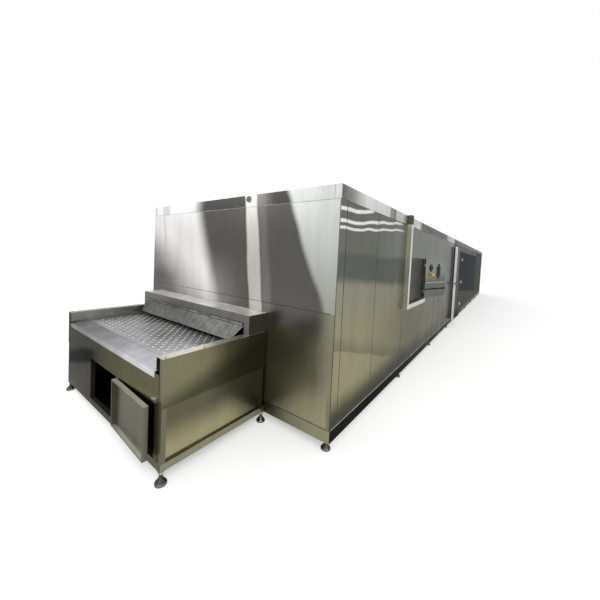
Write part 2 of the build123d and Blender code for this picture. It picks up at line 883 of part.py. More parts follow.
# Pin brackets of the hatch on the centre post: two lugs and a pin for each knuckle
lug_thickness = 2 * sheet
with BuildPart() as hatch_hinges:
    for level in hatch_levels:
        for side in (-1, 1):
            near_edge = level + side * (small_knuckle_height / 2 + running_gap)
            with BuildSketch(Plane.XY.offset(near_edge)):
                with Locations((hatch_axis_x, hatch_axis_y)):
                    Circle(small_knuckle_radius)
                with Locations((hatch_axis_x, (hatch_axis_y + table_front + sheet) / 2)):
                    Rectangle(2 * small_knuckle_radius, table_front + sheet - hatch_axis_y)
            extrude(amount=side * lug_thickness)
        with BuildSketch(Plane.XY.offset(level - small_knuckle_height / 2 - lug_thickness)):
            with Locations((hatch_axis_x, hatch_axis_y)):
                Circle(small_pin_radius)
        extrude(amount=small_knuckle_height + 2 * lug_thickness)
save(hatch_hinges.part, "hatch_hinges")

# End panel of the outfeed table, its two bays closed by fixed covers that lap its edges
outfeed_face = 2 * length_shift - table_front
cover_top = bay_top + cover_lap
with BuildPart() as outfeed_end_panel:
    add(at_outfeed(infeed_end_panel.part))
    for jamb, post in (
        (bay_edge_left - cover_lap, centre_post_x - sheet),
        (bay_edge_right + cover_lap, centre_post_x + sheet),
    ):
        middle = (jamb + post) / 2
        width = abs(jamb - post)
        height = cover_top - bottom_rail_top
        with BuildSketch(Plane.XZ.offset(-outfeed_face)):
            with Locations((middle, (cover_top + bottom_rail_top) / 2)):
                Rectangle(width, height)
        extrude(amount=-hatch_rim)
        with BuildSketch(Plane.XZ.offset(-outfeed_face - sheet)):
            with Locations((middle, (cover_top + bottom_rail_top) / 2)):
                Rectangle(width - 2 * sheet, height - 2 * sheet)
        extrude(amount=-hatch_rim, mode=Mode.SUBTRACT)
save(outfeed_end_panel.part, "outfeed_end_panel")

# Door frame on the wall round the doorway
leaf_near = front_face + door_near
leaf_middle = leaf_near + door_width / 2
leaf_level = door_bottom + door_height / 2
hinge_rise = door_height / 2 - hinge_from_end
hinge_levels = (leaf_level - hinge_rise, leaf_level, leaf_level + hinge_rise)
with BuildPart() as door_frame:
    with BuildSketch(Plane.YZ.offset(wall_right)):
        with Locations((leaf_middle, leaf_level)):
            Rectangle(doorway_width + 2 * door_frame_width, doorway_height + 2 * door_frame_width)
            Rectangle(doorway_width, doorway_height, mode=Mode.SUBTRACT)
    extrude(amount=door_frame_thickness)
save(door_frame.part, "door_frame")

# Rubber gasket on the back of the leaf
gasket_back = wall_right + door_frame_thickness + door_clearance
with BuildPart() as door_gasket:
    with BuildSketch(Plane.YZ.offset(gasket_back)):
        with Locations((leaf_middle, leaf_level)):
            Rectangle(door_width - 2 * gasket_inset, door_height - 2 * gasket_inset)
            Rectangle(
                door_width - 2 * gasket_inset - 2 * gasket_width,
                door_height - 2 * gasket_inset - 2 * gasket_width,
                mode=Mode.SUBTRACT,
            )
    extrude(amount=gasket_thickness)
save(door_gasket.part, "door_gasket")

# Door leaf with its two strap hinges fused to the outer face
leaf_back = gasket_back + gasket_thickness
leaf_front = leaf_back + leaf_thickness
leaf_far = leaf_near + door_width
door_axis_x = leaf_front + door_axis_rise
door_axis_y = leaf_far + door_axis_gap
knuckle_height = strap_height
with BuildPart() as door_leaf:
    with BuildSketch(Plane.YZ.offset(leaf_back)):
        with Locations((leaf_middle, leaf_level)):
            Rectangle(door_width, door_height)
    extrude(amount=leaf_thickness)
    chamfer(door_leaf.faces().sort_by(Axis.X)[-1].edges(), sheet)
    for level in hinge_levels:
        with BuildSketch(Plane.XY.offset(level - knuckle_height / 2)):
            with Locations((leaf_front + strap_thickness / 2, door_axis_y - strap_length / 2)):
                Rectangle(strap_thickness, strap_length)
            with Locations((door_axis_x, door_axis_y)):
                Circle(hinge_knuckle_radius)
        extrude(amount=knuckle_height)
        with BuildSketch(Plane.XY.offset(level - knuckle_height / 2)):
            with Locations((door_axis_x, door_axis_y)):
                Circle(hinge_pin_radius + running_gap)
        extrude(amount=knuckle_height, mode=Mode.SUBTRACT)
save(door_leaf.part, "door_leaf")

# Hinge brackets of the door on the wall: a base, two lugs and a pin each
lug_reach = door_axis_x - wall_right
bracket_base = 2 * hinge_knuckle_radius + strap_thickness
with BuildPart() as door_hinges:
    for level in hinge_levels:
        for side in (-1, 1):
            near_edge = level + side * (knuckle_height / 2 + running_gap)
            with BuildSketch(Plane.XY.offset(near_edge)):
                with Locations((door_axis_x, door_axis_y)):
                    Circle(hinge_knuckle_radius)
                with Locations((wall_right + lug_reach / 2, door_axis_y)):
                    Rectangle(lug_reach, 2 * hinge_knuckle_radius)
            extrude(amount=side * hinge_lug_height)
        with BuildSketch(Plane.XY.offset(level - knuckle_height / 2 - hinge_lug_height)):
            with Locations((door_axis_x, door_axis_y)):
                Circle(hinge_pin_radius)
            with Locations((wall_right + sheet, door_axis_y)):
                Rectangle(2 * sheet, bracket_base)
        extrude(amount=knuckle_height + 2 * hinge_lug_height)
save(door_hinges.part, "door_hinges")

# Latch and lever handle on the near edge of the leaf
latch_start = leaf_near - latch_reach
latch_end = leaf_near + 2 * latch_reach
lever_x = leaf_front + latch_thickness + handle_stand_off
with BuildPart() as door_handle:
    with BuildSketch(Plane.YZ.offset(leaf_front)):
        with Locations(((latch_start + latch_end) / 2, latch_level)):
            RectangleRounded(latch_end - latch_start, latch_height, sheet)
    extrude(amount=latch_thickness)
    with BuildSketch(Plane.YZ.offset(leaf_front)):
        with Locations((latch_start + latch_thickness, latch_level)):
            Rectangle(2 * latch_thickness, latch_height - 2 * sheet)
    extrude(amount=latch_thickness - leaf_thickness / 2)
    with BuildSketch(Plane.YZ.offset(leaf_front + latch_thickness)):
        with Locations((leaf_near + latch_reach, latch_level)):
            Circle(handle_radius)
    extrude(amount=handle_stand_off)
    with BuildSketch(Plane.XY.offset(latch_level + 2 * handle_radius)):
        with Locations((lever_x, leaf_near + latch_reach)):
            Circle(handle_radius)
    extrude(amount=-handle_length)
save(door_handle.part, "door_handle")

# Strike on the wall beside the leaf, behind the latch
with BuildPart() as door_strike:
    with BuildSketch(Plane.YZ.offset(wall_right)):
        with Locations((leaf_near - strike_width, latch_level)):
            Rectangle(strike_width, latch_height)
    extrude(amount=strike_rise)
    chamfer(door_strike.faces().sort_by(Axis.X)[-1].edges(), sheet)
save(door_strike.part, "door_strike")

# Control cabinet: a sheet box in the wall with a divider between its two bays
cabinet_back = wall_right - cabinet_depth
cabinet_front = wall_right + cabinet_lip
divider_y = cabinet_middle
bay_clear = cabinet_length / 2 - 1.5 * cabinet_sheet
with BuildPart() as control_cabinet:
    with BuildSketch(Plane.YZ.offset(cabinet_back)):
        with Locations((cabinet_middle, cabinet_level)):
            Rectangle(cabinet_length, cabinet_height)
    extrude(amount=cabinet_depth + cabinet_lip)
    with BuildSketch(Plane.YZ.offset(cabinet_front)):
        with Locations((cabinet_middle, cabinet_level)):
            with GridLocations(bay_clear + cabinet_sheet, 1, 2, 1):
                Rectangle(bay_clear, cabinet_height - 2 * cabinet_sheet)
    extrude(amount=cabinet_sheet - cabinet_depth - cabinet_lip, mode=Mode.SUBTRACT)
save(control_cabinet.part, "control_cabinet")

# Dark fixed cover of the near bay
cover_width = cabinet_length / 2 - 2 * cover_margin
with BuildPart() as cabinet_cover:
    with BuildSketch(Plane.YZ.offset(cabinet_front)):
        with Locations((cabinet_y + cover_margin + cover_width / 2, cabinet_level)):
            Rectangle(cover_width, cabinet_height - 2 * cover_margin)
    extrude(amount=cover_thickness)
    chamfer(cabinet_cover.faces().sort_by(Axis.X)[-1].edges(), cover_thickness / 3)
save(cabinet_cover.part, "cabinet_cover")

# Control door: a tray closed to the outside, standing ajar on two pins
control_axis_x = wall_right + control_axis_out
control_axis_y = divider_y + small_knuckle_radius
control_face = Plane(
    (control_axis_x, control_axis_y, 0),
    x_dir=(math.sin(ajar), math.cos(ajar), 0),
    z_dir=(math.cos(ajar), -math.sin(ajar), 0),
)
door_front = control_face.offset(control_door_depth / 2)
leaf_place = control_axis_gap + control_door_width / 2
control_pin_levels = (cabinet_level - cabinet_height / 3, cabinet_level + cabinet_height / 3)
control_door_height = cabinet_height - 2 * cover_margin
with BuildPart() as control_door:
    with BuildSketch(control_face.offset(-control_door_depth / 2)):
        with Locations((leaf_place, cabinet_level)):
            Rectangle(control_door_width, control_door_height)
    extrude(amount=control_door_depth)
    with BuildSketch(control_face.offset(-control_door_depth / 2)):
        with Locations((leaf_place, cabinet_level)):
            Rectangle(
                control_door_width - 2 * control_door_sheet,
                control_door_height - 2 * control_door_sheet,
            )
    extrude(amount=control_door_depth - control_door_sheet, mode=Mode.SUBTRACT)
    for level in control_pin_levels:
        with BuildSketch(Plane.XY.offset(level - small_knuckle_height / 2)):
            with Locations((control_axis_x, control_axis_y)):
                Circle(small_knuckle_radius)
        extrude(amount=small_knuckle_height)
        with BuildSketch(control_face.offset(-control_door_sheet / 2)):
            with Locations((control_axis_gap / 2, level)):
                Rectangle(control_axis_gap, small_knuckle_height)
        extrude(amount=control_door_sheet)
        with BuildSketch(Plane.XY.offset(level - small_knuckle_height / 2)):
            with Locations((control_axis_x, control_axis_y)):
                Circle(small_pin_radius + running_gap)
        extrude(amount=small_knuckle_height, mode=Mode.SUBTRACT)
save(control_door.part, "control_door")

# Pin brackets of the control door on the cabinet's divider
with BuildPart() as cabinet_hinges:
    for level in control_pin_levels:
        for side in (-1, 1):
            near_edge = level + side * (small_knuckle_height / 2 + running_gap)
            with BuildSketch(Plane.XY.offset(near_edge)):
                with Locations((control_axis_x, control_axis_y)):
                    Circle(small_knuckle_radius)
                with Locations(((control_axis_x + cabinet_front) / 2, control_axis_y)):
                    Rectangle(control_axis_x - cabinet_front, 2 * small_knuckle_radius)
            extrude(amount=side * lug_thickness)
        with BuildSketch(Plane.XY.offset(level - small_knuckle_height / 2 - lug_thickness)):
            with Locations((control_axis_x, control_axis_y)):
                Circle(small_pin_radius)
        extrude(amount=small_knuckle_height + 2 * lug_thickness)
save(cabinet_hinges.part, "cabinet_hinges")

# Row of signal lamps
with BuildPart() as signal_lamps:
    with BuildSketch(door_front):
        with Locations((lamp_first + lamp_pitch * (lamp_count - 1) / 2, lamp_level)):
            with GridLocations(lamp_pitch, 1, lamp_count, 1):
                RegularPolygon(lamp_radius, lamp_sides)
    extrude(amount=lamp_reach)
save(signal_lamps.part, "signal_lamps")

# Row of rotary knobs, each with a grip bar
with BuildPart() as rotary_knobs:
    with BuildSketch(door_front):
        with Locations((lamp_first + lamp_pitch * (lamp_count - 1) / 2, knob_level)):
            with GridLocations(lamp_pitch, 1, lamp_count, 1):
                RegularPolygon(knob_radius, knob_sides)
    extrude(amount=knob_reach / 3)
    with BuildSketch(door_front.offset(knob_reach / 3)):
        with Locations((lamp_first + lamp_pitch * (lamp_count - 1) / 2, knob_level)):
            with GridLocations(lamp_pitch, 1, lamp_count, 1):
                Rectangle(knob_radius / 2, 1.8 * knob_radius)
    extrude(amount=2 * knob_reach / 3)
save(rotary_knobs.part, "rotary_knobs")

# Stop button: base plate, neck and mushroom head
stop_origin = door_front.from_local_coords((stop_place, stop_level, 0))
stop_plane = Plane(stop_origin, x_dir=door_front.x_dir, z_dir=-door_front.y_dir)
with BuildPart() as stop_button:
    with BuildSketch(stop_plane):
        with BuildLine():
            Polyline(
                (0, 0),
                (stop_base_radius, 0),
                (stop_base_radius, stop_base_height),
                (stop_neck_radius, stop_base_height),
                (stop_neck_radius, stop_reach * 0.6),
                (stop_cap_radius, stop_reach * 0.6),
                (stop_cap_radius, stop_reach * 0.9),
                (stop_cap_radius * 0.7, stop_reach),
                (0, stop_reach),
                close=True,
            )
        make_face()
    revolve(axis=Axis(stop_origin, door_front.z_dir))
save(stop_button.part, "stop_button")

# Display panels: a small one over the stop button and a stack of narrow ones
with BuildPart() as display_panels:
    with BuildSketch(door_front):
        with Locations((small_display_place, small_display_level)):
            Rectangle(small_display_width, small_display_height)
        with Locations((meter_place, meter_bottom + meter_pitch * meter_count / 2)):
            with GridLocations(1, meter_pitch, 1, meter_count):
                Rectangle(meter_width, meter_height)
    extrude(amount=display_reach)
save(display_panels.part, "display_panels")

# Round lock of the control door
with BuildPart() as door_lock:
    with BuildSketch(door_front):
        with Locations((lock_place, lock_level)):
            Circle(lock_radius)
    extrude(amount=lock_reach)
save(door_lock.part, "door_lock")

# Cable duct: down the wall from the roof edge, then along under the cabinet
duct_y = front_face + duct_near
duct_end = control_axis_y
duct_top = walls_top
foot_height = cabinet_bottom - duct_bottom
with BuildPart() as cable_duct:
    with BuildSketch(Plane.YZ.offset(wall_right)):
        with BuildLine():
            Polyline(
                (duct_y, duct_bottom),
                (duct_end, duct_bottom),
                (duct_end, duct_bottom + foot_height),
                (duct_y + duct_width, duct_bottom + foot_height),
                (duct_y + duct_width, duct_top),
                (duct_y, duct_top),
                close=True,
            )
        make_face()
    extrude(amount=duct_depth)
save(cable_duct.part, "cable_duct")

# Dark cap over the duct's top, hooked over the roof edge
cap_inner = wall_right + trim_thickness
cap_over = housing_top + trim_thickness
with BuildPart() as duct_cap:
    with BuildSketch(Plane.XZ.offset(-duct_y)):
        with BuildLine():
            Polyline(
                (cap_inner, walls_top),
                (wall_right + duct_depth, walls_top),
                (wall_right + duct_depth, cap_over + duct_cap_wall),
                (wall_right - duct_cap_hook, cap_over + duct_cap_wall),
                (wall_right - duct_cap_hook, cap_over),
                (cap_inner, cap_over),
                close=True,
            )
        make_face()
    extrude(amount=-duct_width)
    top_edges = duct_cap.edges().filter_by(Axis.Y).group_by(Axis.Z)[-1]
    chamfer(top_edges.sort_by(Axis.X)[-1], duct_cap_wall)
save(duct_cap.part, "duct_cap")
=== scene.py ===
# %% [markdown]
# # A tunnel freezer
# The machine is a long box of stainless sandwich panels with a plate belt running through
# it. The solids are already there, at their real size, so this notebook gives every
# surface its finish and adds the small things that a fitter adds by hand: rivets, nuts,
# sealant beads, bezels and dials. Everything is in metres, in the frame of the solids.

import json
import math
import random

import bpy
from mathutils import Matrix, Vector


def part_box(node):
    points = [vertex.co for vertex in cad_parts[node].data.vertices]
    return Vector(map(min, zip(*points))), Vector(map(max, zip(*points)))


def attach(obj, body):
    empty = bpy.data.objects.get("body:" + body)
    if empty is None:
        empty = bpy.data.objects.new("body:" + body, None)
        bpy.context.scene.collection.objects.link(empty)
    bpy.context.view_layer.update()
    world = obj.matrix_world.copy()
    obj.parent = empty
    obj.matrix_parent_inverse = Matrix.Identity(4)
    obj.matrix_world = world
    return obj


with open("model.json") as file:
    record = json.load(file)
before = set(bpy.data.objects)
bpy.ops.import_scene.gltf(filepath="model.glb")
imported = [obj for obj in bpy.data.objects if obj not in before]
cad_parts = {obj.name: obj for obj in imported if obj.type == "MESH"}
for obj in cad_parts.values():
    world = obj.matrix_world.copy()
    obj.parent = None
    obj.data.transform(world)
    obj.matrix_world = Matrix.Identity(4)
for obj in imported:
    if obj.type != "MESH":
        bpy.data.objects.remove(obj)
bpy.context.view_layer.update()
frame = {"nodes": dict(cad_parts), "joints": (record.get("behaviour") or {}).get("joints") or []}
nodes = frame["nodes"]
scene = bpy.context.scene

# %% [markdown]
# ## Places read from the solids
# Finishes change from wall to wall and rivets sit on edges, so the corners that they
# follow are read once from the solids. If a wall moves, they move with it.

# %% Places on the machine
front_low, front_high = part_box("front_wall")
wall_front = front_low.y
wall_left = front_low.x
wall_right = front_high.x
wall_base = front_low.z
wall_top = front_high.z
wall_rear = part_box("rear_wall")[1].y
trim_low, trim_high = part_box("roof_trim")
guards_low, guards_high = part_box("infeed_side_guards")
hood_low, hood_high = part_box("infeed_hood")
table_right = guards_high.x
print("walls from", wall_left, "to", wall_right, "and from", wall_front, "to", wall_rear)

# %% [markdown]
# ## Camera
# The photograph was taken from eye height, a little to the right of the machine's corner,
# with a very wide lens. A wide lens makes the near corner tall and lets the far end run
# away quickly, so the focal length matters as much as the place. The small shift centres
# the crop without tilting the upright edges.

# %% Camera
CAMERA_PLACE = (2.46028, -10.01685, 1.64999)
CAMERA_TURN = (1.530002, 0.561279, -0.471718)
FOCAL_LENGTH = 16.83
FRAME_SHIFT = (0.0166, -0.0571)

turn = Vector(CAMERA_TURN)
seen_from = Matrix.Rotation(turn.length, 3, turn.normalized())
lens = bpy.data.cameras.new("photo_camera")
lens.lens = FOCAL_LENGTH
lens.sensor_width = 36
lens.shift_x, lens.shift_y = FRAME_SHIFT
lens.clip_end = 200
camera = bpy.data.objects.new("photo_camera", lens)
scene.collection.objects.link(camera)
axes = Matrix((seen_from[0], -seen_from[1], -seen_from[2])).transposed()
camera.matrix_world = Matrix.Translation(CAMERA_PLACE) @ axes.to_4x4()
scene.camera = camera

# %% [markdown]
# ## Finishes
# Stainless sheet is never one grey. It has a fine grain from the brushing belt, soft clouds,
# runs from washing, and broad light and dark fields, which are mostly the room mirrored in
# it. A material here is built in layers, as a painter would: a base tone, then fields with
# straight or soft borders, then clouds and runs, then grain. The fields hold what the
# photograph shows and are laid out in object space, so they stay on the sheet from every
# side. A field may also be kept to the faces that look one way.

# %% Helpers for a layered finish
def add_node(tree, kind, **values):
    """A shader node with its properties set by name."""
    node = tree.nodes.new(kind)
    for key, value in values.items():
        setattr(node, key, value)
    return node


def start_material(name):
    """An empty node material with its shader and its object coordinates and normals."""
    material = bpy.data.materials.new(name)
    material.use_nodes = True
    tree = material.node_tree
    shader = tree.nodes["Principled BSDF"]
    spots = add_node(tree, "ShaderNodeTexCoord").outputs
    return material, tree, shader, spots["Object"], spots["Normal"]


def noise(tree, place, scale, stretch=(1, 1, 1), detail=3):
    """Noise stretched along the axes: a small number makes long streaks on that axis."""
    mapping = add_node(tree, "ShaderNodeMapping")
    mapping.inputs["Scale"].default_value = stretch
    texture = add_node(tree, "ShaderNodeTexNoise")
    texture.inputs["Scale"].default_value = scale
    texture.inputs["Detail"].default_value = detail
    tree.links.new(place, mapping.inputs["Vector"])
    tree.links.new(mapping.outputs["Vector"], texture.inputs["Vector"])
    return texture.outputs["Fac"]


def map_range(tree, value, start, end, low, high, kind="LINEAR"):
    """A value between start and end, brought between low and high."""
    ramp = add_node(tree, "ShaderNodeMapRange", interpolation_type=kind)
    tree.links.new(value, ramp.inputs["Value"])
    limits = {"From Min": start, "From Max": end, "To Min": low, "To Max": high}
    for socket, number in limits.items():
        ramp.inputs[socket].default_value = number
    return ramp.outputs["Result"]


def spread(tree, value, low, high):
    """Noise, which mostly lies between 0.3 and 0.7, spread out between low and high."""
    return map_range(tree, value, 0.3, 0.7, low, high)


def border(tree, place, direction, start, end):
    """0 before start and 1 after end, measured along a direction, smooth between."""
    dot = add_node(tree, "ShaderNodeVectorMath", operation="DOT_PRODUCT")
    dot.inputs[1].default_value = direction
    tree.links.new(place, dot.inputs[0])
    near, far = sorted((start, end))
    rising = start < end
    value = dot.outputs["Value"]
    return map_range(tree, value, near, far, int(not rising), int(rising), "SMOOTHSTEP")


def feed(tree, socket, value):
    """Set a socket to a number or an (r, g, b) triple, or link it to another socket."""
    if isinstance(value, (int, float)):
        socket.default_value = value
    elif isinstance(value, tuple):
        socket.default_value = (*value, 1)
    else:
        tree.links.new(value, socket)


def multiply(tree, first, second):
    """The product of two values."""
    product = add_node(tree, "ShaderNodeMath", operation="MULTIPLY")
    feed(tree, product.inputs[0], first)
    feed(tree, product.inputs[1], second)
    return product.outputs["Value"]


def blend_colour(tree, factor, under, over, mode="MIX"):
    """Lay one colour over another. Each is a socket or an (r, g, b) triple."""
    mix = add_node(tree, "ShaderNodeMix", data_type="RGBA", blend_type=mode)
    for socket, value in (("Factor", factor), (6, under), (7, over)):
        feed(tree, mix.inputs[socket], value)
    return mix.outputs[2]


def bump(tree, height, strength, distance, under=None):
    """Relief from a height, laid over another relief if there is one."""
    relief = add_node(tree, "ShaderNodeBump")
    relief.inputs["Strength"].default_value = strength
    relief.inputs["Distance"].default_value = distance
    tree.links.new(height, relief.inputs["Height"])
    if under is not None:
        tree.links.new(under, relief.inputs["Normal"])
    return relief.outputs["Normal"]


# %% [markdown]
# ### Brushed sheet
# A rolled sheet is slightly wavy, so what it mirrors wanders. The borders of soft fields
# are pushed about by a slow noise for the same reason, while borders thinner than a few
# millimetres, which stand for real edges, stay straight. At a low angle bare steel would
# flash white; the grime in its grain holds that back, and a dark edge tint stands for it.

# %% Brushed sheet
SHARP = 0.006
WANDER = 0.06
WAVE_SCALE = 2.2
STREAK_SCALE = 260


def wandering(tree, place):
    """Object coordinates pushed about by a slow noise, by a few centimetres at most."""
    texture = add_node(tree, "ShaderNodeTexNoise")
    texture.inputs["Scale"].default_value = 2.6
    texture.inputs["Detail"].default_value = 1
    tree.links.new(place, texture.inputs["Vector"])
    centred = add_node(tree, "ShaderNodeVectorMath", operation="SUBTRACT")
    centred.inputs[1].default_value = (0.5, 0.5, 0.5)
    tree.links.new(texture.outputs["Color"], centred.inputs[0])
    pushed = add_node(tree, "ShaderNodeVectorMath", operation="MULTIPLY_ADD")
    pushed.inputs[1].default_value = (WANDER, WANDER, WANDER)
    tree.links.new(centred.outputs["Vector"], pushed.inputs[0])
    tree.links.new(place, pushed.inputs[2])
    return pushed.outputs["Vector"]


def grey_colour(tree, value):
    """A value as a grey colour."""
    shade = add_node(tree, "ShaderNodeCombineColor")
    for channel in ("Red", "Green", "Blue"):
        tree.links.new(value, shade.inputs[channel])
    return shade.outputs["Color"]


def sheet_metal(
    name, base, fields=(), grain=(1, 1, 0.04), gloss=(0.24, 0.36), clouds=0.07, runs=0.05,
    run_scale=9, ripple=0.08, brushing=0.08, metal=0.9, edge_tint=0.45, film=0.5,
):
    """Brushed sheet. fields is a list of (colour, strength, borders), laid in order, where
    borders are (direction, start, end), with "facing" added for the direction of the faces.
    grain is small along the brushing direction. metal is lower where grime dulls the sheet,
    edge_tint darkens it at low angles and film is the gloss of what lies on it."""
    material, tree, shader, place, normal = start_material(name)
    wandered = wandering(tree, place)
    colour = base
    for tone, strength, borders in fields:
        mask = None
        for direction, start, end, *kind in borders:
            straight = place if abs(end - start) < SHARP else wandered
            edge = border(tree, normal if kind else straight, direction, start, end)
            mask = edge if mask is None else multiply(tree, mask, edge)
        colour = blend_colour(tree, multiply(tree, mask, strength), colour, tone)
    cloud = spread(tree, noise(tree, place, 1.3, detail=2), 1 - clouds, 1 + clouds)
    wash = noise(tree, place, run_scale, stretch=(1, 1, 0.1), detail=3)
    run = spread(tree, wash, 1 - runs, 1 + runs)
    streaks = noise(tree, place, STREAK_SCALE, stretch=grain, detail=2)
    line = spread(tree, streaks, 1 - brushing, 1 + brushing)
    tone = multiply(tree, multiply(tree, cloud, run), line)
    colour = blend_colour(tree, 1.0, colour, grey_colour(tree, tone), "MULTIPLY")
    tree.links.new(colour, shader.inputs["Base Color"])
    shader.inputs["Metallic"].default_value = metal
    shader.inputs["Specular IOR Level"].default_value = film
    shader.inputs["Specular Tint"].default_value = (edge_tint, edge_tint, edge_tint, 1)
    smudge = noise(tree, place, WAVE_SCALE, detail=2)
    tree.links.new(spread(tree, smudge, *gloss), shader.inputs["Roughness"])
    fine = bump(tree, streaks, brushing / 2, 0.0006)
    wave = noise(tree, place, WAVE_SCALE, detail=1)
    tree.links.new(bump(tree, wave, ripple, 0.02, fine), shader.inputs["Normal"])
    return material


# %% [markdown]
# ### Rubber, plastic and paint
# These are small, so a colour that varies a little, a fine relief and the right gloss are
# enough.

# %% Plain finish
SPECKLE_SCALE = 60


def plain_finish(name, base, gloss=(0.35, 0.55), variation=0.15, relief=0.1, film=0.5):
    """Rubber, plastic or paint: a colour that varies a little, with a fine relief."""
    material, tree, shader, place, normal = start_material(name)
    dust = noise(tree, place, 6, detail=4)
    darker = tuple(channel * (1 - variation) for channel in base)
    lighter = tuple(min(1, channel * (1 + variation) + 0.006) for channel in base)
    colour = blend_colour(tree, spread(tree, dust, 0, 1), darker, lighter)
    tree.links.new(colour, shader.inputs["Base Color"])
    tree.links.new(spread(tree, dust, *gloss), shader.inputs["Roughness"])
    shader.inputs["Specular IOR Level"].default_value = film
    speckle = noise(tree, place, SPECKLE_SCALE, detail=4)
    tree.links.new(bump(tree, speckle, relief, 0.001), shader.inputs["Normal"])
    return material


# %% [markdown]
# ### The front wall
# The broad front sheet is the brightest thing on the machine, in painted reflections. Its
# left third is painted almost white and falls off towards the hood, a painted bright
# reflection runs down from the vent plug as a stripe, and a slanting pale painted reflection
# fills the right corner down to the seam. Below the hood the sheet sinks into a dark olive of
# painted shade and lightens again in painted reflections towards its right and lower edges.
# A thin dark line of painted shade runs down the corner edge.

# %% Front wall finish
ALONG = (1, 0, 0)
DEEP = (0, 1, 0)
UP = (0, 0, 1)
LEFTWARD = (-1, 0, 0)
FORWARD = (0, -1, 0)
FACES_FRONT = (FORWARD, 0.4, 0.6, "facing")
FACES_RIGHT = (ALONG, 0.4, 0.6, "facing")
FACES_UP = (UP, 0.6, 0.8, "facing")
GLARE = (0.95, 0.95, 0.93)
FLASHING_REFLECTION = (0.64, 0.65, 0.63)
COOL_GREY = (0.165, 0.172, 0.148)
DARK_OLIVE = (0.16, 0.153, 0.105)
EDGE_BLACK = (0.03, 0.03, 0.022)
SEAM = 1.175
STREAK = (1, 0, 0.122)
LEFT_RISE = (0.5, 0, 1)
LEFT_SLANT = (1, 0, 0.345)
LEFT_SHEEN = (1, 0, 0.2)
RIGHT_SLANT = (1, 0, 0.41)
front_base = (0.094, 0.091, 0.082)
streak_borders = [(STREAK, 0.51, 0.545), (STREAK, 0.715, 0.675)]
above_seam = (UP, SEAM - 0.002, SEAM + 0.002)
below_seam = (UP, SEAM + 0.002, SEAM - 0.002)
# Painted reflections and painted shade on the front wall, laid in order, ending in a painted dark
# line along the corner edge.
front_fields = [
    ((0.32, 0.31, 0.3), 0.9, [(UP, 1.75, 1.15), (ALONG, 0.35, -0.45)]),
    ((0.82, 0.805, 0.79), 1.0, [(LEFT_RISE, 0.55, 1.3), (LEFT_SLANT, 0.33, 0.05)]),
    ((0.5, 0.51, 0.55), 0.6, [
        (LEFT_SHEEN, -0.995, -0.965), (LEFT_SHEEN, -0.925, -0.95), (UP, 1.5, 1.8),
    ]),
    ((0.18, 0.175, 0.165), 0.7, [(STREAK, 0.7, 0.73), (STREAK, 0.86, 0.78)]),
    ((0.6, 0.57, 0.53), 1.0, streak_borders),
    ((0.2, 0.19, 0.175), 0.35, [*streak_borders, (UP, 2.0, 1.2)]),
    ((0.3, 0.31, 0.27), 1.0, [(RIGHT_SLANT, 1.71, 1.79), above_seam]),
    ((0.64, 0.665, 0.64), 0.95, [(RIGHT_SLANT, 1.71, 1.79), (UP, 1.15, 2.15), above_seam]),
    ((0.09, 0.09, 0.085), 0.75, [(UP, 1.5, 1.25), (ALONG, -0.7, -1.4)]),
    (DARK_OLIVE, 0.96, [(UP, 1.08, 0.85)]),
    ((0.22, 0.21, 0.155), 0.95, [(ALONG, 1.19, 1.35), below_seam]),
    ((0.3, 0.28, 0.175), 0.9, [(UP, 0.62, 0.2), (ALONG, 0.8, 1.25)]),
    ((0.17, 0.163, 0.118), 0.8, [(ALONG, 1.335, 1.345), (UP, 0.6, 0.4)]),
    (EDGE_BLACK, 0.75, [(ALONG, wall_right - 0.008, wall_right - 0.005)]),
]

# %% [markdown]
# ### The side walls
# The long side is polished almost to a mirror, and most of its tones are painted reflections.
# Above eye height it reads a cool grey, then comes a painted dark reflection band that slopes
# away along the wall, and below it a warm khaki that sinks into painted shadow over the skirt.
# Bright ripples under the roof edge near the corner are painted reflections of lamps in the
# wavy sheet. The access door and the panels behind it read a dull blue-black. The left wall
# isn't seen from the camera, so it gets the same painted tones in plain level bands.

# %% Side wall finish
corner = (wall_right, wall_front, 0)
BAND_SLOPE = (0, 0.071, 1)
KHAKI_SLOPE = (0, 0.275, 1)
DOOR_SLOPE = (0, 0.075, 1)


def from_corner(origin, direction, start, end):
    """A border whose start and end are measured from a corner of the machine."""
    offset = Vector(direction).dot(Vector(origin))
    return direction, start + offset, end + offset


def on_side(direction, start, end):
    """A border on the long wall, with its Y measured from the front corner."""
    return from_corner(corner, direction, start, end)


def lamp_reflection_line(level, rise, thickness, length):
    """The borders of a thin painted lamp reflection along a ripple, which rises along the wall and
    ends at a length.
    """
    slant = (0, -rise, 1)
    return [
        on_side(slant, level - thickness, level - thickness / 3),
        on_side(slant, level + thickness, level + thickness / 3),
        on_side(DEEP, length, length * 0.85),
    ]


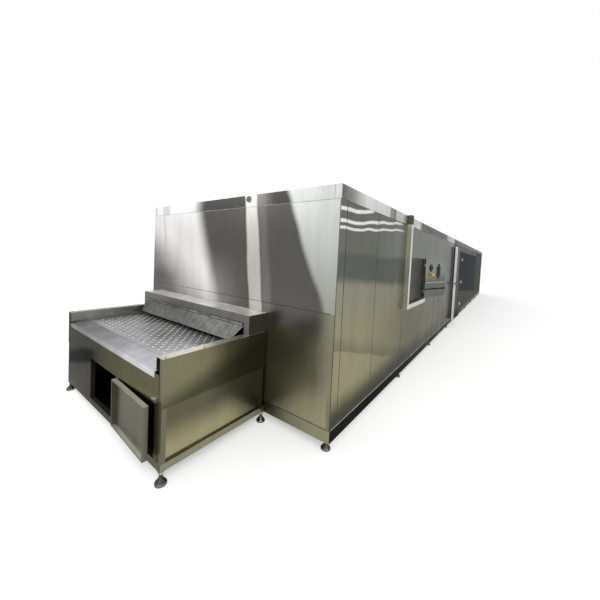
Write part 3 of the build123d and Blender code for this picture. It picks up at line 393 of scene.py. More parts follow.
side_base = (0.25, 0.262, 0.236)
# Painted reflections on the long side, painted shadow over the skirt and painted lamp reflections
# under the roof edge.
side_fields = [
    (COOL_GREY, 1.0, [on_side(DEEP, 2.2, 0.3)]),
    ((0.122, 0.13, 0.114), 0.95, [on_side(DEEP, 3.9, 3.6), (UP, 1.72, 1.64)]),
    ((0.2, 0.205, 0.175), 0.9, [on_side(DEEP, 3.8, 4.0), (UP, 1.3, 0.9)]),
    ((0.295, 0.285, 0.215), 1.0, [on_side(BAND_SLOPE, 1.5, 1.4), on_side(DEEP, 4.0, 3.8)]),
    ((0.315, 0.294, 0.19), 1.0, [on_side(BAND_SLOPE, 1.3, 1.0), on_side(DEEP, 4.0, 3.8)]),
    ((0.2, 0.19, 0.13), 0.8, [on_side(DEEP, 0.9, 2.2), on_side(BAND_SLOPE, 1.4, 1.0)]),
    ((0.17, 0.163, 0.11), 0.6, [
        on_side(KHAKI_SLOPE, 1.05, 0.875), on_side(KHAKI_SLOPE, 0.862, 0.876),
        on_side(DEEP, 2.4, 1.5),
    ]),
    ((0.34, 0.315, 0.195), 0.8, [on_side(KHAKI_SLOPE, 0.876, 0.86), on_side(DEEP, 1.8, 0.9)]),
    ((0.07, 0.08, 0.086), 1.0, [
        on_side(DEEP, 6.45, 6.5), on_side(DEEP, 12.6, 12.5), (UP, 1.98, 1.95),
    ]),
    ((0.1, 0.106, 0.1), 0.8, [on_side(DEEP, 12.5, 12.6)]),
    ((0.16, 0.157, 0.12), 1.0, [on_side(DOOR_SLOPE, 1.42, 1.38), on_side(DEEP, 6.4, 6.5)]),
    ((0.055, 0.053, 0.038), 0.92, [(UP, 0.52, 0.26), on_side(DEEP, 9.5, 5.5)]),
    (GLARE, 1.0, lamp_reflection_line(2.04, 0.11, 0.024, 0.75)),
    (GLARE, 1.0, lamp_reflection_line(1.936, 0.1035, 0.022, 1.8)),
    (GLARE, 0.95, lamp_reflection_line(1.88, 0.084, 0.018, 1.85)),
]
side_steel = sheet_metal(
    "side_wall_steel", side_base, side_fields, gloss=(0.2, 0.3), ripple=0.03, brushing=0.015
)
# The same painted reflections and painted shade, as level bands.
left_fields = [
    (COOL_GREY, 1.0, [(UP, 1.9, 1.5)]),
    ((0.3, 0.285, 0.2), 1.0, [(UP, 1.25, 1.1)]),
    (DARK_OLIVE, 0.8, [(UP, 0.6, 0.25)]),
]
left_steel = sheet_metal(
    "left_wall_steel", side_base, left_fields, gloss=(0.22, 0.32), brushing=0.03
)
dull_film = {"gloss": (0.3, 0.4), "brushing": 0.02, "metal": 0.4, "edge_tint": 0.05, "film": 0}
far_steel = sheet_metal("far_wall_steel", side_base, side_fields, **dull_film)

# %% [markdown]
# ### Corner strips, flashing and skirt
# The front wall's panel ends on the long side, and an angle strip wraps the corner, so both
# continue the front on one face and the side on the other. The front fields are laid over
# the side fields on the faces that look forward. The flashing under the roof is painted
# brighter than the walls, in uneven patches of painted reflection. The skirt is darker, with
# painted shade on its side, a painted reflection towards the right of its front and a painted
# highlight along its top edge.

# %% Corner, flashing and skirt finishes
def laid_on(facing, fields):
    """The same fields, kept to the faces that look one way."""
    return [(tone, strength, [*borders, facing]) for tone, strength, borders in fields]


corner_fields = [
    *side_fields, (front_base, 1.0, [FACES_FRONT]), *laid_on(FACES_FRONT, front_fields),
]
front_steel = sheet_metal(
    "front_wall_steel", side_base, corner_fields, gloss=(0.24, 0.34), brushing=0.05
)
# Painted reflections on the flashing: light and dark patches along the side and across the front.
trim_side = [
    ((0.8, 0.8, 0.78), 1.0, [on_side(DEEP, -0.03, 0.6), on_side(DEEP, 1.2, 1.17)]),
    ((0.4, 0.4, 0.39), 1.0, [on_side(DEEP, 1.17, 1.2), on_side(DEEP, 1.34, 1.338)]),
    ((0.7, 0.7, 0.68), 1.0, [on_side(DEEP, 1.36, 1.4), on_side(DEEP, 1.95, 1.8)]),
    ((0.9, 0.9, 0.88), 1.0, [on_side(DEEP, 1.86, 1.95), on_side(DEEP, 2.75, 2.45)]),
    ((0.8, 0.8, 0.78), 1.0, [on_side(DEEP, 4.9, 5.2), on_side(DEEP, 6.2, 6.0)]),
    ((0.08, 0.083, 0.08), 0.9, [on_side(DEEP, 6.1, 6.3)]),
]
trim_front = [
    (FLASHING_REFLECTION, 1.0, []),
    ((0.84, 0.84, 0.83), 1.0, [(ALONG, -0.4, -0.8)]),
    ((0.6, 0.6, 0.6), 1.0, [(ALONG, -1.42, -1.38), (ALONG, -1.2, -1.24)]),
    ((0.066, 0.065, 0.06), 1.0, [(ALONG, -0.72, -0.4), (RIGHT_SLANT, 1.79, 1.71)]),
    ((0.2, 0.195, 0.18), 0.9, [(STREAK, 0.66, 0.72), (STREAK, 0.95, 0.75)]),
    ((0.62, 0.6, 0.56), 1.0, streak_borders),
]
trim_fields = [*trim_side, *laid_on(FACES_FRONT, trim_front)]
trim_steel = sheet_metal("flashing_steel", (0.17, 0.17, 0.155), trim_fields, clouds=0.16)
# Painted reflection on the roof's faces that look forward.
roof_fields = [(FLASHING_REFLECTION, 1.0, [FACES_FRONT])]
roof_steel = sheet_metal("roof_steel", (0.3, 0.3, 0.28), roof_fields)
# Painted shade on the skirt's side, a painted reflection towards the right of its front and a
# painted highlight along its top edge.
skirt_fields = [
    ((0.04, 0.04, 0.036), 1.0, [FACES_RIGHT]),
    ((0.09, 0.09, 0.08), 0.9, [FACES_RIGHT, on_side(DEEP, 6, 11)]),
    ((0.05, 0.048, 0.03), 0.95, [FACES_FRONT, (ALONG, 1.0, 0.72)]),
    ((0.28, 0.267, 0.178), 0.9, [FACES_FRONT, (ALONG, 0.95, 1.25)]),
    ((0.24, 0.24, 0.2), 1.0, [(UP, wall_base - 0.004, wall_base - 0.001)]),
]
skirt_steel = sheet_metal(
    "skirt_steel", (0.19, 0.182, 0.12), skirt_fields, brushing=0.03, edge_tint=0.3, film=0.1
)

# %% [markdown]
# ### The infeed table
# The sheets of the two tables are olive, with painted reflections brightest in their middle
# and painted shade nearly black where they meet the housing. Flanges that look up are painted
# almost white, a painted highlight for the light of the whole room. The apron carries a
# painted bright reflection, the belt is duller between its dimples, whose crowns carry a
# painted highlight, and the flap over the belt is streaked with dark runs.

# %% Table finishes
table_corner = (table_right, wall_front, 0)


def on_table(direction, start, end):
    """A border on the infeed table's right side, with its Y measured from the housing."""
    return from_corner(table_corner, direction, start, end)


TABLE_LEAN = (0, 1, 0.1)
PANEL_SHADE = (0, 1, 0.42)
BAND_TOP = (0, -0.3, 1)
panel_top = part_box("infeed_side_panels")[1].z
outer_side = (ALONG, 0, 0.1)
# Painted shade near the housing and a painted dark reflection band along the guards; painted light
# on the lower panels, the left guard's inner face and the faces that look up and forward.
table_fields = [
    ((0.085, 0.082, 0.052), 1.0, [on_table(TABLE_LEAN, -0.55, 0), outer_side]),
    ((0.05, 0.049, 0.03), 0.92, [
        on_table(BAND_TOP, 1.0, 0.8), (UP, panel_top - 0.003, panel_top - 0.001), outer_side,
    ]),
    ((0.105, 0.1, 0.062), 1.0, [(UP, panel_top - 0.001, panel_top - 0.003)]),
    ((0.33, 0.305, 0.175), 1.0, [(UP, 0.46, 0.2), on_table(PANEL_SHADE, -0.02, -0.4)]),
    ((0.5, 0.5, 0.47), 1.0, [(ALONG, -1.3, -1.35), FACES_RIGHT]),
    ((0.72, 0.7, 0.62), 1.0, [FACES_UP]),
    ((0.14, 0.14, 0.12), 1.0, [FACES_FRONT]),
]
table_steel = sheet_metal(
    "table_steel", (0.175, 0.165, 0.098), table_fields, gloss=(0.22, 0.32), brushing=0.04
)
END_LINE = (-0.27, 0, 1)
end_left = (guards_low.x, 0, 0)


def on_end(direction, start, end):
    """A border on the end panel, with its X measured from the table's left edge."""
    return from_corner(end_left, direction, start, end)


# Painted reflections and painted shade on the end panel: lighter towards the bottom, a near-black
# diagonal band of painted shade, and lighter again to the right.
end_fields = [
    ((0.12, 0.115, 0.08), 0.9, [on_end(END_LINE, 0.36, 0.1)]),
    ((0.008, 0.008, 0.006), 1.0, [
        on_end(END_LINE, 0.28, 0.34), on_end(END_LINE, 0.5, 0.4), on_end(ALONG, 1.0, 0.6),
    ]),
    ((0.14, 0.132, 0.086), 0.9, [on_end(ALONG, 0.6, 1.4)]),
]
end_steel = sheet_metal(
    "end_panel_steel", (0.09, 0.089, 0.08), end_fields, gloss=(0.22, 0.32), brushing=0.04,
    edge_tint=0.32, film=0.2,
)
# Painted highlight: the hatch's faces that look up are pale.
hatch_fields = [((0.85, 0.84, 0.79), 1.0, [FACES_UP])]
hatch_steel = sheet_metal(
    "hatch_steel", (0.155, 0.147, 0.113), hatch_fields, brushing=0.04, metal=0.8
)
ACROSS_GRAIN = (0.04, 1, 1)
NO_GRAIN = (1, 1, 1)
# Painted reflection: a bright field across the apron.
apron_fields = [((0.6, 0.6, 0.63), 0.95, [(ALONG, -0.9, 0.35)])]
apron_steel = sheet_metal(
    "apron_steel", (0.26, 0.26, 0.26), apron_fields, ACROSS_GRAIN, gloss=(0.3, 0.42), runs=0.12
)
BELT_SHADE = (-0.35, 1, 0)
belt_fields = [((0.4, 0.4, 0.39), 0.95, [(BELT_SHADE, -8.8, -8.1)])]
belt_steel = sheet_metal(
    "belt_steel", (0.57, 0.57, 0.585), belt_fields, ACROSS_GRAIN, gloss=(0.28, 0.42)
)
# Painted highlight: the dimple crowns are lighter than the belt.
crown_steel = sheet_metal(
    "dimple_crown_steel", (0.74, 0.74, 0.76), grain=NO_GRAIN, gloss=(0.2, 0.3)
)
# Painted highlights on the hood's top, brightest in one patch, and painted shade on its right end.
hood_fields = [
    ((0.93, 0.92, 0.88), 1.0, [FACES_UP]),
    ((0.95, 0.93, 0.89), 0.8, [
        FACES_UP, (ALONG, 0.1, 0.25), (ALONG, 0.5, 0.38), (DEEP, -8.12, -8.04),
    ]),
    ((0.075, 0.072, 0.052), 1.0, [FACES_RIGHT]),
]
hood_steel = sheet_metal(
    "hood_steel", (0.155, 0.152, 0.14), hood_fields, gloss=(0.28, 0.42), runs=0.12, metal=0.64
)
flap_steel = sheet_metal(
    "flap_steel", (0.092, 0.093, 0.088), gloss=(0.3, 0.46), clouds=0.3, runs=0.3, run_scale=26
)

# %% [markdown]
# ### Frames, feet and fittings
# Tube and bar are plainer than sheet, so most get one tone each. The frames carry painted
# shade near the housing and on their front faces and a painted highlight on their bottom
# rails. The cable duct and the door's edge face the light and are painted nearly white, a
# painted highlight. The control door gets a painted dark reflection higher up, part of the
# cabinet cover a near-black painted reflection, and the drip trays are near black as painted
# shade inside the tables.

# %% Frame and fitting finishes
# Painted shade near the housing and on the front faces, and a painted highlight on the bottom
# rail's right faces.
frame_steel = sheet_metal("frame_steel", (0.15, 0.143, 0.1), [
    ((0.03, 0.029, 0.02), 1.0, [on_table(DEEP, -0.5, -0.15), FACES_RIGHT]),
    ((0.25, 0.24, 0.165), 1.0, [(UP, 0.16, 0.152), FACES_RIGHT]),
    ((0.07, 0.068, 0.05), 1.0, [FACES_FRONT, on_end(ALONG, 1.9, 1.0)]),
])
inner_steel = sheet_metal("roller_steel", (0.3, 0.3, 0.29))
foot_fields = [((0.16, 0.16, 0.14), 1.0, [(UP, 0.02, 0.016)])]
foot_steel = sheet_metal("foot_steel", (0.07, 0.069, 0.058), foot_fields, NO_GRAIN)
cabinet_steel = sheet_metal("cabinet_steel", (0.19, 0.19, 0.172))
# Painted dark reflection on the upper part of the control door.
control_fields = [((0.165, 0.17, 0.15), 1.0, [(UP, 1.5, 1.3)])]
control_steel = sheet_metal("control_door_steel", (0.28, 0.29, 0.26), control_fields, brushing=0.03)
# Painted highlight: the duct's faces that look right are nearly white.
duct_fields = [((0.9, 0.9, 0.87), 1.0, [FACES_RIGHT])]
duct_steel = sheet_metal("duct_steel", (0.55, 0.54, 0.43), duct_fields, brushing=0.03)
# The side wall's painted reflections, and a painted highlight on the leaf's near edge.
door_fields = [*side_fields, (GLARE, 1.0, [FACES_FRONT])]
door_steel = sheet_metal("door_leaf_steel", side_base, door_fields, **dull_film)
door_frame_steel = sheet_metal("door_frame_steel", (0.3, 0.31, 0.29), brushing=0.03)
bright_steel = sheet_metal(
    "fastener_steel", (0.5, 0.5, 0.48), grain=NO_GRAIN, gloss=(0.22, 0.32)
)
# Painted dark reflection: part of the cover between the duct and the control panel is near black.
cover_fields = [(EDGE_BLACK, 1.0, [on_side(DEEP, 2.1, 2.8)])]
dark_cover = sheet_metal("dark_cover_steel", (0.1, 0.099, 0.075), cover_fields, brushing=0.03)
# Painted shade: the drip trays are near black, for the dark inside of the tables.
tray_steel = sheet_metal("tray_steel", (0.012, 0.012, 0.011), gloss=(0.5, 0.6))
gasket_rubber = plain_finish("gasket_rubber", (0.012, 0.012, 0.012), gloss=(0.5, 0.7), film=0.2)
black_plastic = plain_finish("black_plastic", (0.014, 0.014, 0.015), gloss=(0.3, 0.45), film=0.2)
wear_plastic = plain_finish("wear_plastic", (0.7, 0.7, 0.66), gloss=(0.4, 0.6))
display_black = plain_finish(
    "display_black", (0.006, 0.007, 0.008), gloss=(0.08, 0.16), relief=0.02, film=0.05
)
stop_yellow = plain_finish("stop_yellow", (0.85, 0.55, 0.03), gloss=(0.2, 0.35), relief=0.03)
stop_red = plain_finish("stop_red", (0.3, 0.03, 0.02), gloss=(0.25, 0.4), relief=0.03)
sealant = plain_finish(
    "sealant", (0.02, 0.02, 0.018), gloss=(0.35, 0.5), variation=0.3, relief=0.4, film=0.2
)
pale_sealant = plain_finish(
    "pale_sealant", (0.36, 0.36, 0.34), gloss=(0.3, 0.45), variation=0.3, relief=0.4
)


def lamp_finish(name, base, glow):
    """A translucent cap with a faint light behind it."""
    material = plain_finish(name, base, gloss=(0.12, 0.22), relief=0.02)
    shader = material.node_tree.nodes["Principled BSDF"]
    shader.inputs["Emission Color"].default_value = (*base, 1)
    shader.inputs["Emission Strength"].default_value = glow
    return material


lamp_white = lamp_finish("lamp_white", (0.75, 0.76, 0.74), 0.1)
lamp_cyan = lamp_finish("lamp_cyan", (0.25, 0.85, 0.8), 0.6)

# %% [markdown]
# ### Which piece wears which finish
# Each solid gets its material through its slots, so its shape is untouched.

# %% Dress the solids
finishes = {
    front_steel: ["front_wall", "rear_wall", "corner_angles"],
    side_steel: ["right_wall_front", "right_wall_control_bay", "right_wall_middle"],
    left_steel: ["left_wall"],
    control_steel: ["control_door"],
    far_steel: ["doorway_sill_lintel", "right_wall_rear"],
    door_steel: ["door_leaf"],
    door_frame_steel: ["door_frame"],
    roof_steel: ["roof"],
    trim_steel: ["roof_trim"],
    skirt_steel: ["base_skirt", "housing_floor"],
    table_steel: [
        "infeed_side_guards", "infeed_side_panels", "outfeed_side_guards", "outfeed_side_panels",
    ],
    end_steel: ["infeed_end_panel", "outfeed_end_panel"],
    hatch_steel: ["infeed_hatch"],
    apron_steel: ["infeed_apron", "outfeed_apron"],
    belt_steel: ["conveyor_belt"],
    hood_steel: ["infeed_hood", "outfeed_hood"],
    flap_steel: ["infeed_flap"],
    frame_steel: ["infeed_frame", "outfeed_frame", "bed_legs", "belt_bed"],
    tray_steel: ["infeed_drip_tray", "outfeed_drip_tray"],
    inner_steel: ["end_rollers", "roller_bearings"],
    foot_steel: ["levelling_feet"],
    cabinet_steel: ["control_cabinet", "door_hinges", "door_handle", "door_strike"],
    duct_steel: ["cable_duct"],
    bright_steel: ["hatch_hinges", "cabinet_hinges", "door_lock"],
    gasket_rubber: ["door_gasket"],
    wear_plastic: ["wear_strips"],
    dark_cover: ["cabinet_cover", "vent_plug", "duct_cap"],
    black_plastic: ["rotary_knobs"],
    display_black: ["display_panels"],
    stop_yellow: ["stop_button"],
    lamp_white: ["signal_lamps"],
}
for finish, names in finishes.items():
    for name in names:
        mesh = nodes[name].data
        mesh.materials.clear()
        mesh.materials.append(finish)
undressed = sorted(set(nodes) - {name for names in finishes.values() for name in names})
print("undressed solids:", undressed)

# %% [markdown]
# ## Small pieces
# Everything from here on is modelled the way a modeller works by hand: start from a
# primitive at its real size, open it in edit mode, choose faces by where they look, and
# inset, move or extrude them. What repeats is shaped once, and each copy gets its own mesh.

# %% Helpers for modelling
SMOOTH_ANGLE = 40


def only(pieces):
    """Select these pieces and nothing else."""
    bpy.ops.object.select_all(action="DESELECT")
    for piece in pieces:
        piece.select_set(True)
    bpy.context.view_layer.objects.active = pieces[0]


def edit(piece, chosen):
    """Open a piece in edit mode with the chosen faces selected."""
    only([piece])
    bpy.ops.object.mode_set(mode="EDIT")
    bpy.ops.mesh.select_mode(type="FACE")
    bpy.ops.mesh.select_all(action="DESELECT")
    bpy.ops.object.mode_set(mode="OBJECT")
    for face in piece.data.polygons:
        face.select = chosen(face)
    bpy.ops.object.mode_set(mode="EDIT")


def looks_up(face):
    """True for a face that looks up."""
    return face.normal.z > 0.9


def shape_top(piece, steps):
    """Inset the top of a piece and move it up, once for each (inset, rise)."""
    edit(piece, looks_up)
    for inset, rise in steps:
        bpy.ops.mesh.inset(thickness=inset)
        bpy.ops.transform.translate(value=(0, 0, rise))
    bpy.ops.object.mode_set(mode="OBJECT")
    return piece


def push_out(piece, chosen, cuts, kept, move):
    """Cut the chosen faces into strips, and extrude the strips that are kept."""
    edit(piece, chosen)
    bpy.ops.mesh.subdivide(number_cuts=cuts)
    bpy.ops.object.mode_set(mode="OBJECT")
    edit(piece, lambda face: chosen(face) and kept(face))
    bpy.ops.mesh.extrude_region_move(TRANSFORM_OT_translate={"value": move})
    bpy.ops.object.mode_set(mode="OBJECT")


def apply_place(piece):
    """Put the piece's place into its mesh."""
    only([piece])
    bpy.ops.object.transform_apply(location=True, rotation=True, scale=True)


def disc(sides, radius, rise):
    """A disc standing on Z = 0."""
    bpy.ops.mesh.primitive_cylinder_add(
        vertices=sides, radius=radius, depth=rise, location=(0, 0, rise / 2)
    )
    return bpy.context.object


def block(centre, size):
    """A block with its middle at a point."""
    bpy.ops.mesh.primitive_cube_add(size=1, location=centre, scale=size)
    piece = bpy.context.object
    apply_place(piece)
    return piece


def settle(piece, name, finish, body="root"):
    """Name, clean, smooth and dress a finished piece, and let it ride on its body."""
    piece.name = name
    piece.data.name = name
    apply_place(piece)
    bpy.ops.object.mode_set(mode="EDIT")
    bpy.ops.mesh.select_all(action="SELECT")
    bpy.ops.mesh.remove_doubles(threshold=0.00001)
    bpy.ops.mesh.normals_make_consistent(inside=False)
    bpy.ops.object.mode_set(mode="OBJECT")
    bpy.ops.object.shade_smooth_by_angle(angle=math.radians(SMOOTH_ANGLE))
    piece.data.materials.clear()
    piece.data.materials.append(finish)
    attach(piece, body)
    print(name, "has", len(piece.data.polygons), "faces")
    return piece


def copies(master, places, name, finish, body="root"):
    """Join one copy of the master at each place, and settle the result."""
    apply_place(master)
    parts = []
    for place in places:
        part = master.copy()
        part.data = master.data.copy()
        part.matrix_basis = place
        scene.collection.objects.link(part)
        parts.append(part)
    bpy.data.objects.remove(master)
    bpy.context.view_layer.update()
    only(parts)
    bpy.ops.object.join()
    return settle(parts[0], name, finish, body)


def standing_on(point, outward):
    """The place of a piece whose Z axis points outward from a surface."""
    turn_to = Vector(outward).to_track_quat("Z", "Y").to_matrix().to_4x4()
    return Matrix.Translation(point) @ turn_to


def lying_along(point, outward, direction):
    """The place of a bead: its Z axis lies along a direction and X points outward."""
    outward, direction = Vector(outward), Vector(direction)
    columns = Matrix((outward, direction.cross(outward), direction)).transposed()
    return Matrix.Translation(point) @ columns.to_4x4()


def islands(name, keep=None):
    """The separate solids of a node, or of its kept faces, each as a list of corners."""
    mesh = nodes[name].data
    spot = [tuple(round(value, 5) for value in corner.co) for corner in mesh.vertices]
    home = {}

    def find(key):
        home.setdefault(key, key)
        while home[key] != key:
            home[key] = home[home[key]]
            key = home[key]
        return key

    for face in mesh.polygons:
        if keep is None or keep(face):
            first, *others = [find(spot[index]) for index in face.vertices]
            for other in others:
                home[find(other)] = find(first)
    groups = {}
    for key in list(home):
        groups.setdefault(find(key), []).append(Vector(key))
    return sorted(groups.values(), key=lambda corners: tuple(corners[0]))


def middle(corners):
    """The middle of the box round some corners."""
    low = Vector([min(corner[axis] for corner in corners) for axis in range(3)])
    high = Vector([max(corner[axis] for corner in corners) for axis in range(3)])
    return (low + high) / 2


# %% [markdown]
# ### Dimple crowns
# The belt's plates are pressed with staggered rows of dimples. The solids carry them as
# six-sided studs. The round crown of each is a short cylinder whose top is inset and raised
# twice, which gives a low dome with few faces, and it is set over every stud.

# %% Crowns over the studs of the belt
CROWN_RADIUS = 0.0135
CROWN_EDGE = 0.0014
belt_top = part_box("conveyor_belt")[1].z
STUD_HEIGHT = 0.004
studs = islands(
    "conveyor_belt", lambda face: looks_up(face) and face.center.z > belt_top - 0.0005
)
crown_places = [Matrix.Translation(middle(stud) - Vector((0, 0, STUD_HEIGHT))) for stud in studs]
crown = shape_top(disc(10, CROWN_RADIUS, CROWN_EDGE), [(0.0042, 0.0022), (0.0045, 0.0008)])
copies(crown, crown_places, "belt_dimple_crowns", crown_steel)

# %% [markdown]
# ### Sealant beads
# Every joint between two panels is filled by hand, so the bead is a little thicker here
# and thinner there. It starts as one short eight-sided slice. Its end face is extruded step
# by step and swells or shrinks at each, by amounts drawn from a seeded list of chances.
# The hem along the top of the flap is uneven too, so it is made the same way.

# %% A bead, and a pair of level ones
chance = random.Random(7)


def bead(length, width, rise, steps):
    """A bead along Z, width across and rising off the surface at X = 0."""
    step = length / steps
    piece = disc(8, width / 2, step)
    piece.scale = (2 * rise / width, 1, 1)
    apply_place(piece)
    edit(piece, looks_up)
    size = 1.0
    for index in range(2, steps + 1):
        target = chance.uniform(0.75, 1.25)
        bpy.ops.mesh.extrude_region_move(TRANSFORM_OT_translate={"value": (0, 0, step)})
        swell = target / size
        bpy.ops.transform.resize(value=(swell, swell, 1), center_override=(0, 0, step * index))
        size = target
    bpy.ops.object.mode_set(mode="OBJECT")
    return piece


def bead_pair(name, inset, level, size, steps, finish):
    """Two beads across the front wall and the rear wall, starting at an inset."""
    left = wall_left + inset
    places = [
        lying_along((left, wall_front, level), FORWARD, ALONG),
        lying_along((left, wall_rear, level), DEEP, ALONG),
    ]
    length = wall_right - wall_left - 2 * inset
    copies(bead(length, *size, steps), places, name, finish)


# %% Beads in the joints of the walls
JOINT_BEAD = (0.012, 0.0012)
SEAM_BEAD = (0.005, 0.0012)
FLASHING_BEAD = (0.008, 0.0022)
HOOD_BEAD = (0.01, 0.004)
PANEL_PITCH = 1.03
CORNER_JOINTS = [0.12, 0.85]
SEAM_INSET = 0.05
near_joints = [*CORNER_JOINTS, 1.88, 3.94, 4.97]
far_joints = [7.98 + PANEL_PITCH * index for index in range(8)]
left_joints = CORNER_JOINTS + [1.88 + PANEL_PITCH * index for index in range(14)]
joint_places = [
    lying_along((wall_right, wall_front + run, wall_base), ALONG, UP)
    for run in near_joints + far_joints
]
joint_places += [
    lying_along((wall_left, wall_front + run, wall_base), LEFTWARD, UP) for run in left_joints
]
joint_bead = bead(wall_top - wall_base, *JOINT_BEAD, 30)
copies(joint_bead, joint_places, "wall_joint_beads", sealant)
bead_pair("front_seam_beads", SEAM_INSET, SEAM, SEAM_BEAD, 40, sealant)
bead_pair("flashing_beads", 0, wall_top, FLASHING_BEAD, 60, pale_sealant)
hood_places = [
    lying_along((hood_low.x, wall_front, hood_high.z), FORWARD, ALONG),
    lying_along((hood_low.x, wall_rear, hood_high.z), DEEP, ALONG),
]
hood_bead = bead(hood_high.x - hood_low.x, *HOOD_BEAD, 40)
copies(hood_bead, hood_places, "hood_beads", pale_sealant)

# %% Hem of the flap
HEM_BEAD = (0.011, 0.0035)
HEM_INSET = 0.01
HEM_DROP = 0.012
flap_low, flap_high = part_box("infeed_flap")
flap_slope = Vector((0, flap_low.y - flap_high.y, flap_low.z - flap_high.z)).normalized()
flap_out = Vector((0, flap_slope.z, -flap_slope.y))
flap_corner = Vector((flap_low.x + HEM_INSET, flap_high.y, flap_high.z))
copies(
    bead(flap_high.x - flap_low.x - 2 * HEM_INSET, *HEM_BEAD, 40),
    [lying_along(flap_corner + HEM_DROP * flap_slope, flap_out, ALONG)],
    "flap_hem", bright_steel,
)

# %% Beads over the skirt
SKIRT_BEAD = (0.008, 0.0018)
skirt_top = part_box("base_skirt")[1].z
long_bead = bead(wall_rear - wall_front, *SKIRT_BEAD, 60)
long_places = [
    lying_along((wall_right, wall_front, skirt_top), ALONG, DEEP),
    lying_along((wall_left, wall_front, skirt_top), LEFTWARD, DEEP),
]
copies(long_bead, long_places, "skirt_beads", pale_sealant)
bead_pair("front_skirt_beads", 0, skirt_top, SKIRT_BEAD, 60, sealant)

# %% [markdown]
# ### Rivets and screws
# The flashing and the guards are held by low domed heads. One head is shaped from a disc:
# its top is inset and raised to a dome, then inset and sunk for the recess.

# %% Rivets in the flashing
def low_head(radius, rise):
    """A low domed head standing on Z = 0, with a shallow recess."""
    return shape_top(disc(12, radius, rise), [
        (radius * 0.25, rise * 0.35), (radius * 0.3, rise * 0.1), (radius * 0.12, -rise * 0.5),
    ])


RIVET_PITCH = 0.5
RIVET_START = 0.25
rivet_level = wall_top + 0.014
front_runs = [wall_left + RIVET_START + RIVET_PITCH * index for index in range(6)]
side_runs = [wall_front + RIVET_START + RIVET_PITCH * index for index in range(32)]
rivet_places = [standing_on((run, trim_low.y, rivet_level), FORWARD) for run in front_runs]
rivet_places += [standing_on((run, trim_high.y, rivet_level), DEEP) for run in front_runs]
rivet_places += [standing_on((trim_high.x, run, rivet_level), ALONG) for run in side_runs]
rivet = low_head(0.0035, 0.001)
copies(rivet, rivet_places, "flashing_rivets", bright_steel)

# %% Screws in the guards
SCREW_INSET = 0.02
TOP_SCREW_RUNS = (0.03, 0.35, 0.7)
SIDE_SCREW_RUN = 0.024
side_screw_level = panel_top + 0.012
outfeed_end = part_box("outfeed_side_guards")[1].y
screw_places = []
for end, way in ((guards_low.y, 1), (outfeed_end, -1)):
    for side, outward in ((guards_low.x, -1), (guards_high.x, 1)):
        spot = (side, end + way * SIDE_SCREW_RUN, side_screw_level)
        screw_places.append(standing_on(spot, (outward, 0, 0)))
        for run in TOP_SCREW_RUNS:
            spot = (side - outward * SCREW_INSET, end + way * run, guards_high.z)
            screw_places.append(standing_on(spot, UP))
screw = low_head(0.0065, 0.0026)
copies(screw, screw_places, "guard_screws", dark_cover)

# %% [markdown]
# ### Locknuts on the feet
# A threaded stem joins each foot to the frame, and a hexagon nut under the frame locks it.
# The nut is a six-sided cylinder with its edges bevelled, so that they catch the light.

# %% Nuts under the frame
NUT_HEIGHT = 0.012
NUT_WIDTH = 1.7
feet = islands("levelling_feet")
foot_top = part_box("levelling_feet")[1].z
stem_corners = [corner for corner in feet[0] if corner.z > foot_top - 0.001]
stem = max((corner - middle(feet[0])).xy.length for corner in stem_corners)
bpy.ops.mesh.primitive_cylinder_add(
    vertices=6, radius=stem * NUT_WIDTH, depth=NUT_HEIGHT, location=(0, 0, -NUT_HEIGHT / 2)
)
nut = bpy.context.object
edit(nut, lambda face: True)
bpy.ops.mesh.bevel(offset=0.0012, segments=1)
bpy.ops.object.mode_set(mode="OBJECT")
nut_places = [Matrix.Translation((*middle(foot).xy, foot_top)) for foot in feet]
copies(nut, nut_places, "foot_locknuts", bright_steel)

# %% [markdown]
# ### Vent ring and clips
# A steel ring clamps the vent plug in the flashing. The two small angles on the skirt hold
# its joints together: a plate whose edge at the wall is extruded upwards makes both legs.

# %% Vent ring
vent_low, vent_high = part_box("vent_plug")
vent_middle = (vent_low + vent_high) / 2
vent_radius = (vent_high.x - vent_low.x) / 2
RING_WIDTH = 0.009
RING_RISE = 0.006
ring = shape_top(disc(28, vent_radius + RING_WIDTH, RING_RISE), [
    (0.003, 0.0015), (0.005, 0.0), (0.001, -RING_RISE),
])
ring_place = standing_on((vent_middle.x, trim_low.y, vent_middle.z), FORWARD)
copies(ring, [ring_place], "vent_ring", bright_steel)

# %% Clips on the skirt
CLIP_RUNS = (2.44, 4.03)
CLIP_LENGTH = 0.06
CLIP_WIDTH = 0.022
CLIP_LEG = 0.026
CLIP_SHEET = 0.004
clip = block((CLIP_WIDTH / 2, 0, CLIP_SHEET / 2), (CLIP_WIDTH, CLIP_LENGTH, CLIP_SHEET))
push_out(clip, looks_up, 3, lambda face: face.center.x < CLIP_WIDTH / 4, (0, 0, CLIP_LEG))
clip_places = [
    Matrix.Translation((wall_right, wall_front + run, skirt_top + CLIP_SHEET))
    for run in CLIP_RUNS
]
copies(clip, clip_places, "skirt_clips", bright_steel)

# %% [markdown]
# ### The control panel
# The panel door stands ajar, so its fittings are laid out along the door itself: the
# hinge gives the origin, and the angle at which the door stands gives the two directions.
# Lamps get a bezel and a domed lens, knobs a dial plate with a raised rim, displays a
# raised frame and the stop button a dark red collar.

# %% The panel's own directions
panel_hinge = next(joint for joint in frame["joints"] if joint["name"] == "control_panel_hinge")
panel_origin = Vector(panel_hinge["pos_m"])
ajar = -math.radians(panel_hinge["range_deg"][0])
panel_along = Vector((math.sin(ajar), math.cos(ajar), 0))
panel_out = Vector((math.cos(ajar), -math.sin(ajar), 0))


def reach_of(corners):
    """How far some corners reach out from the hinge, square to the panel."""
    return [panel_out.dot(corner - panel_origin) for corner in corners]


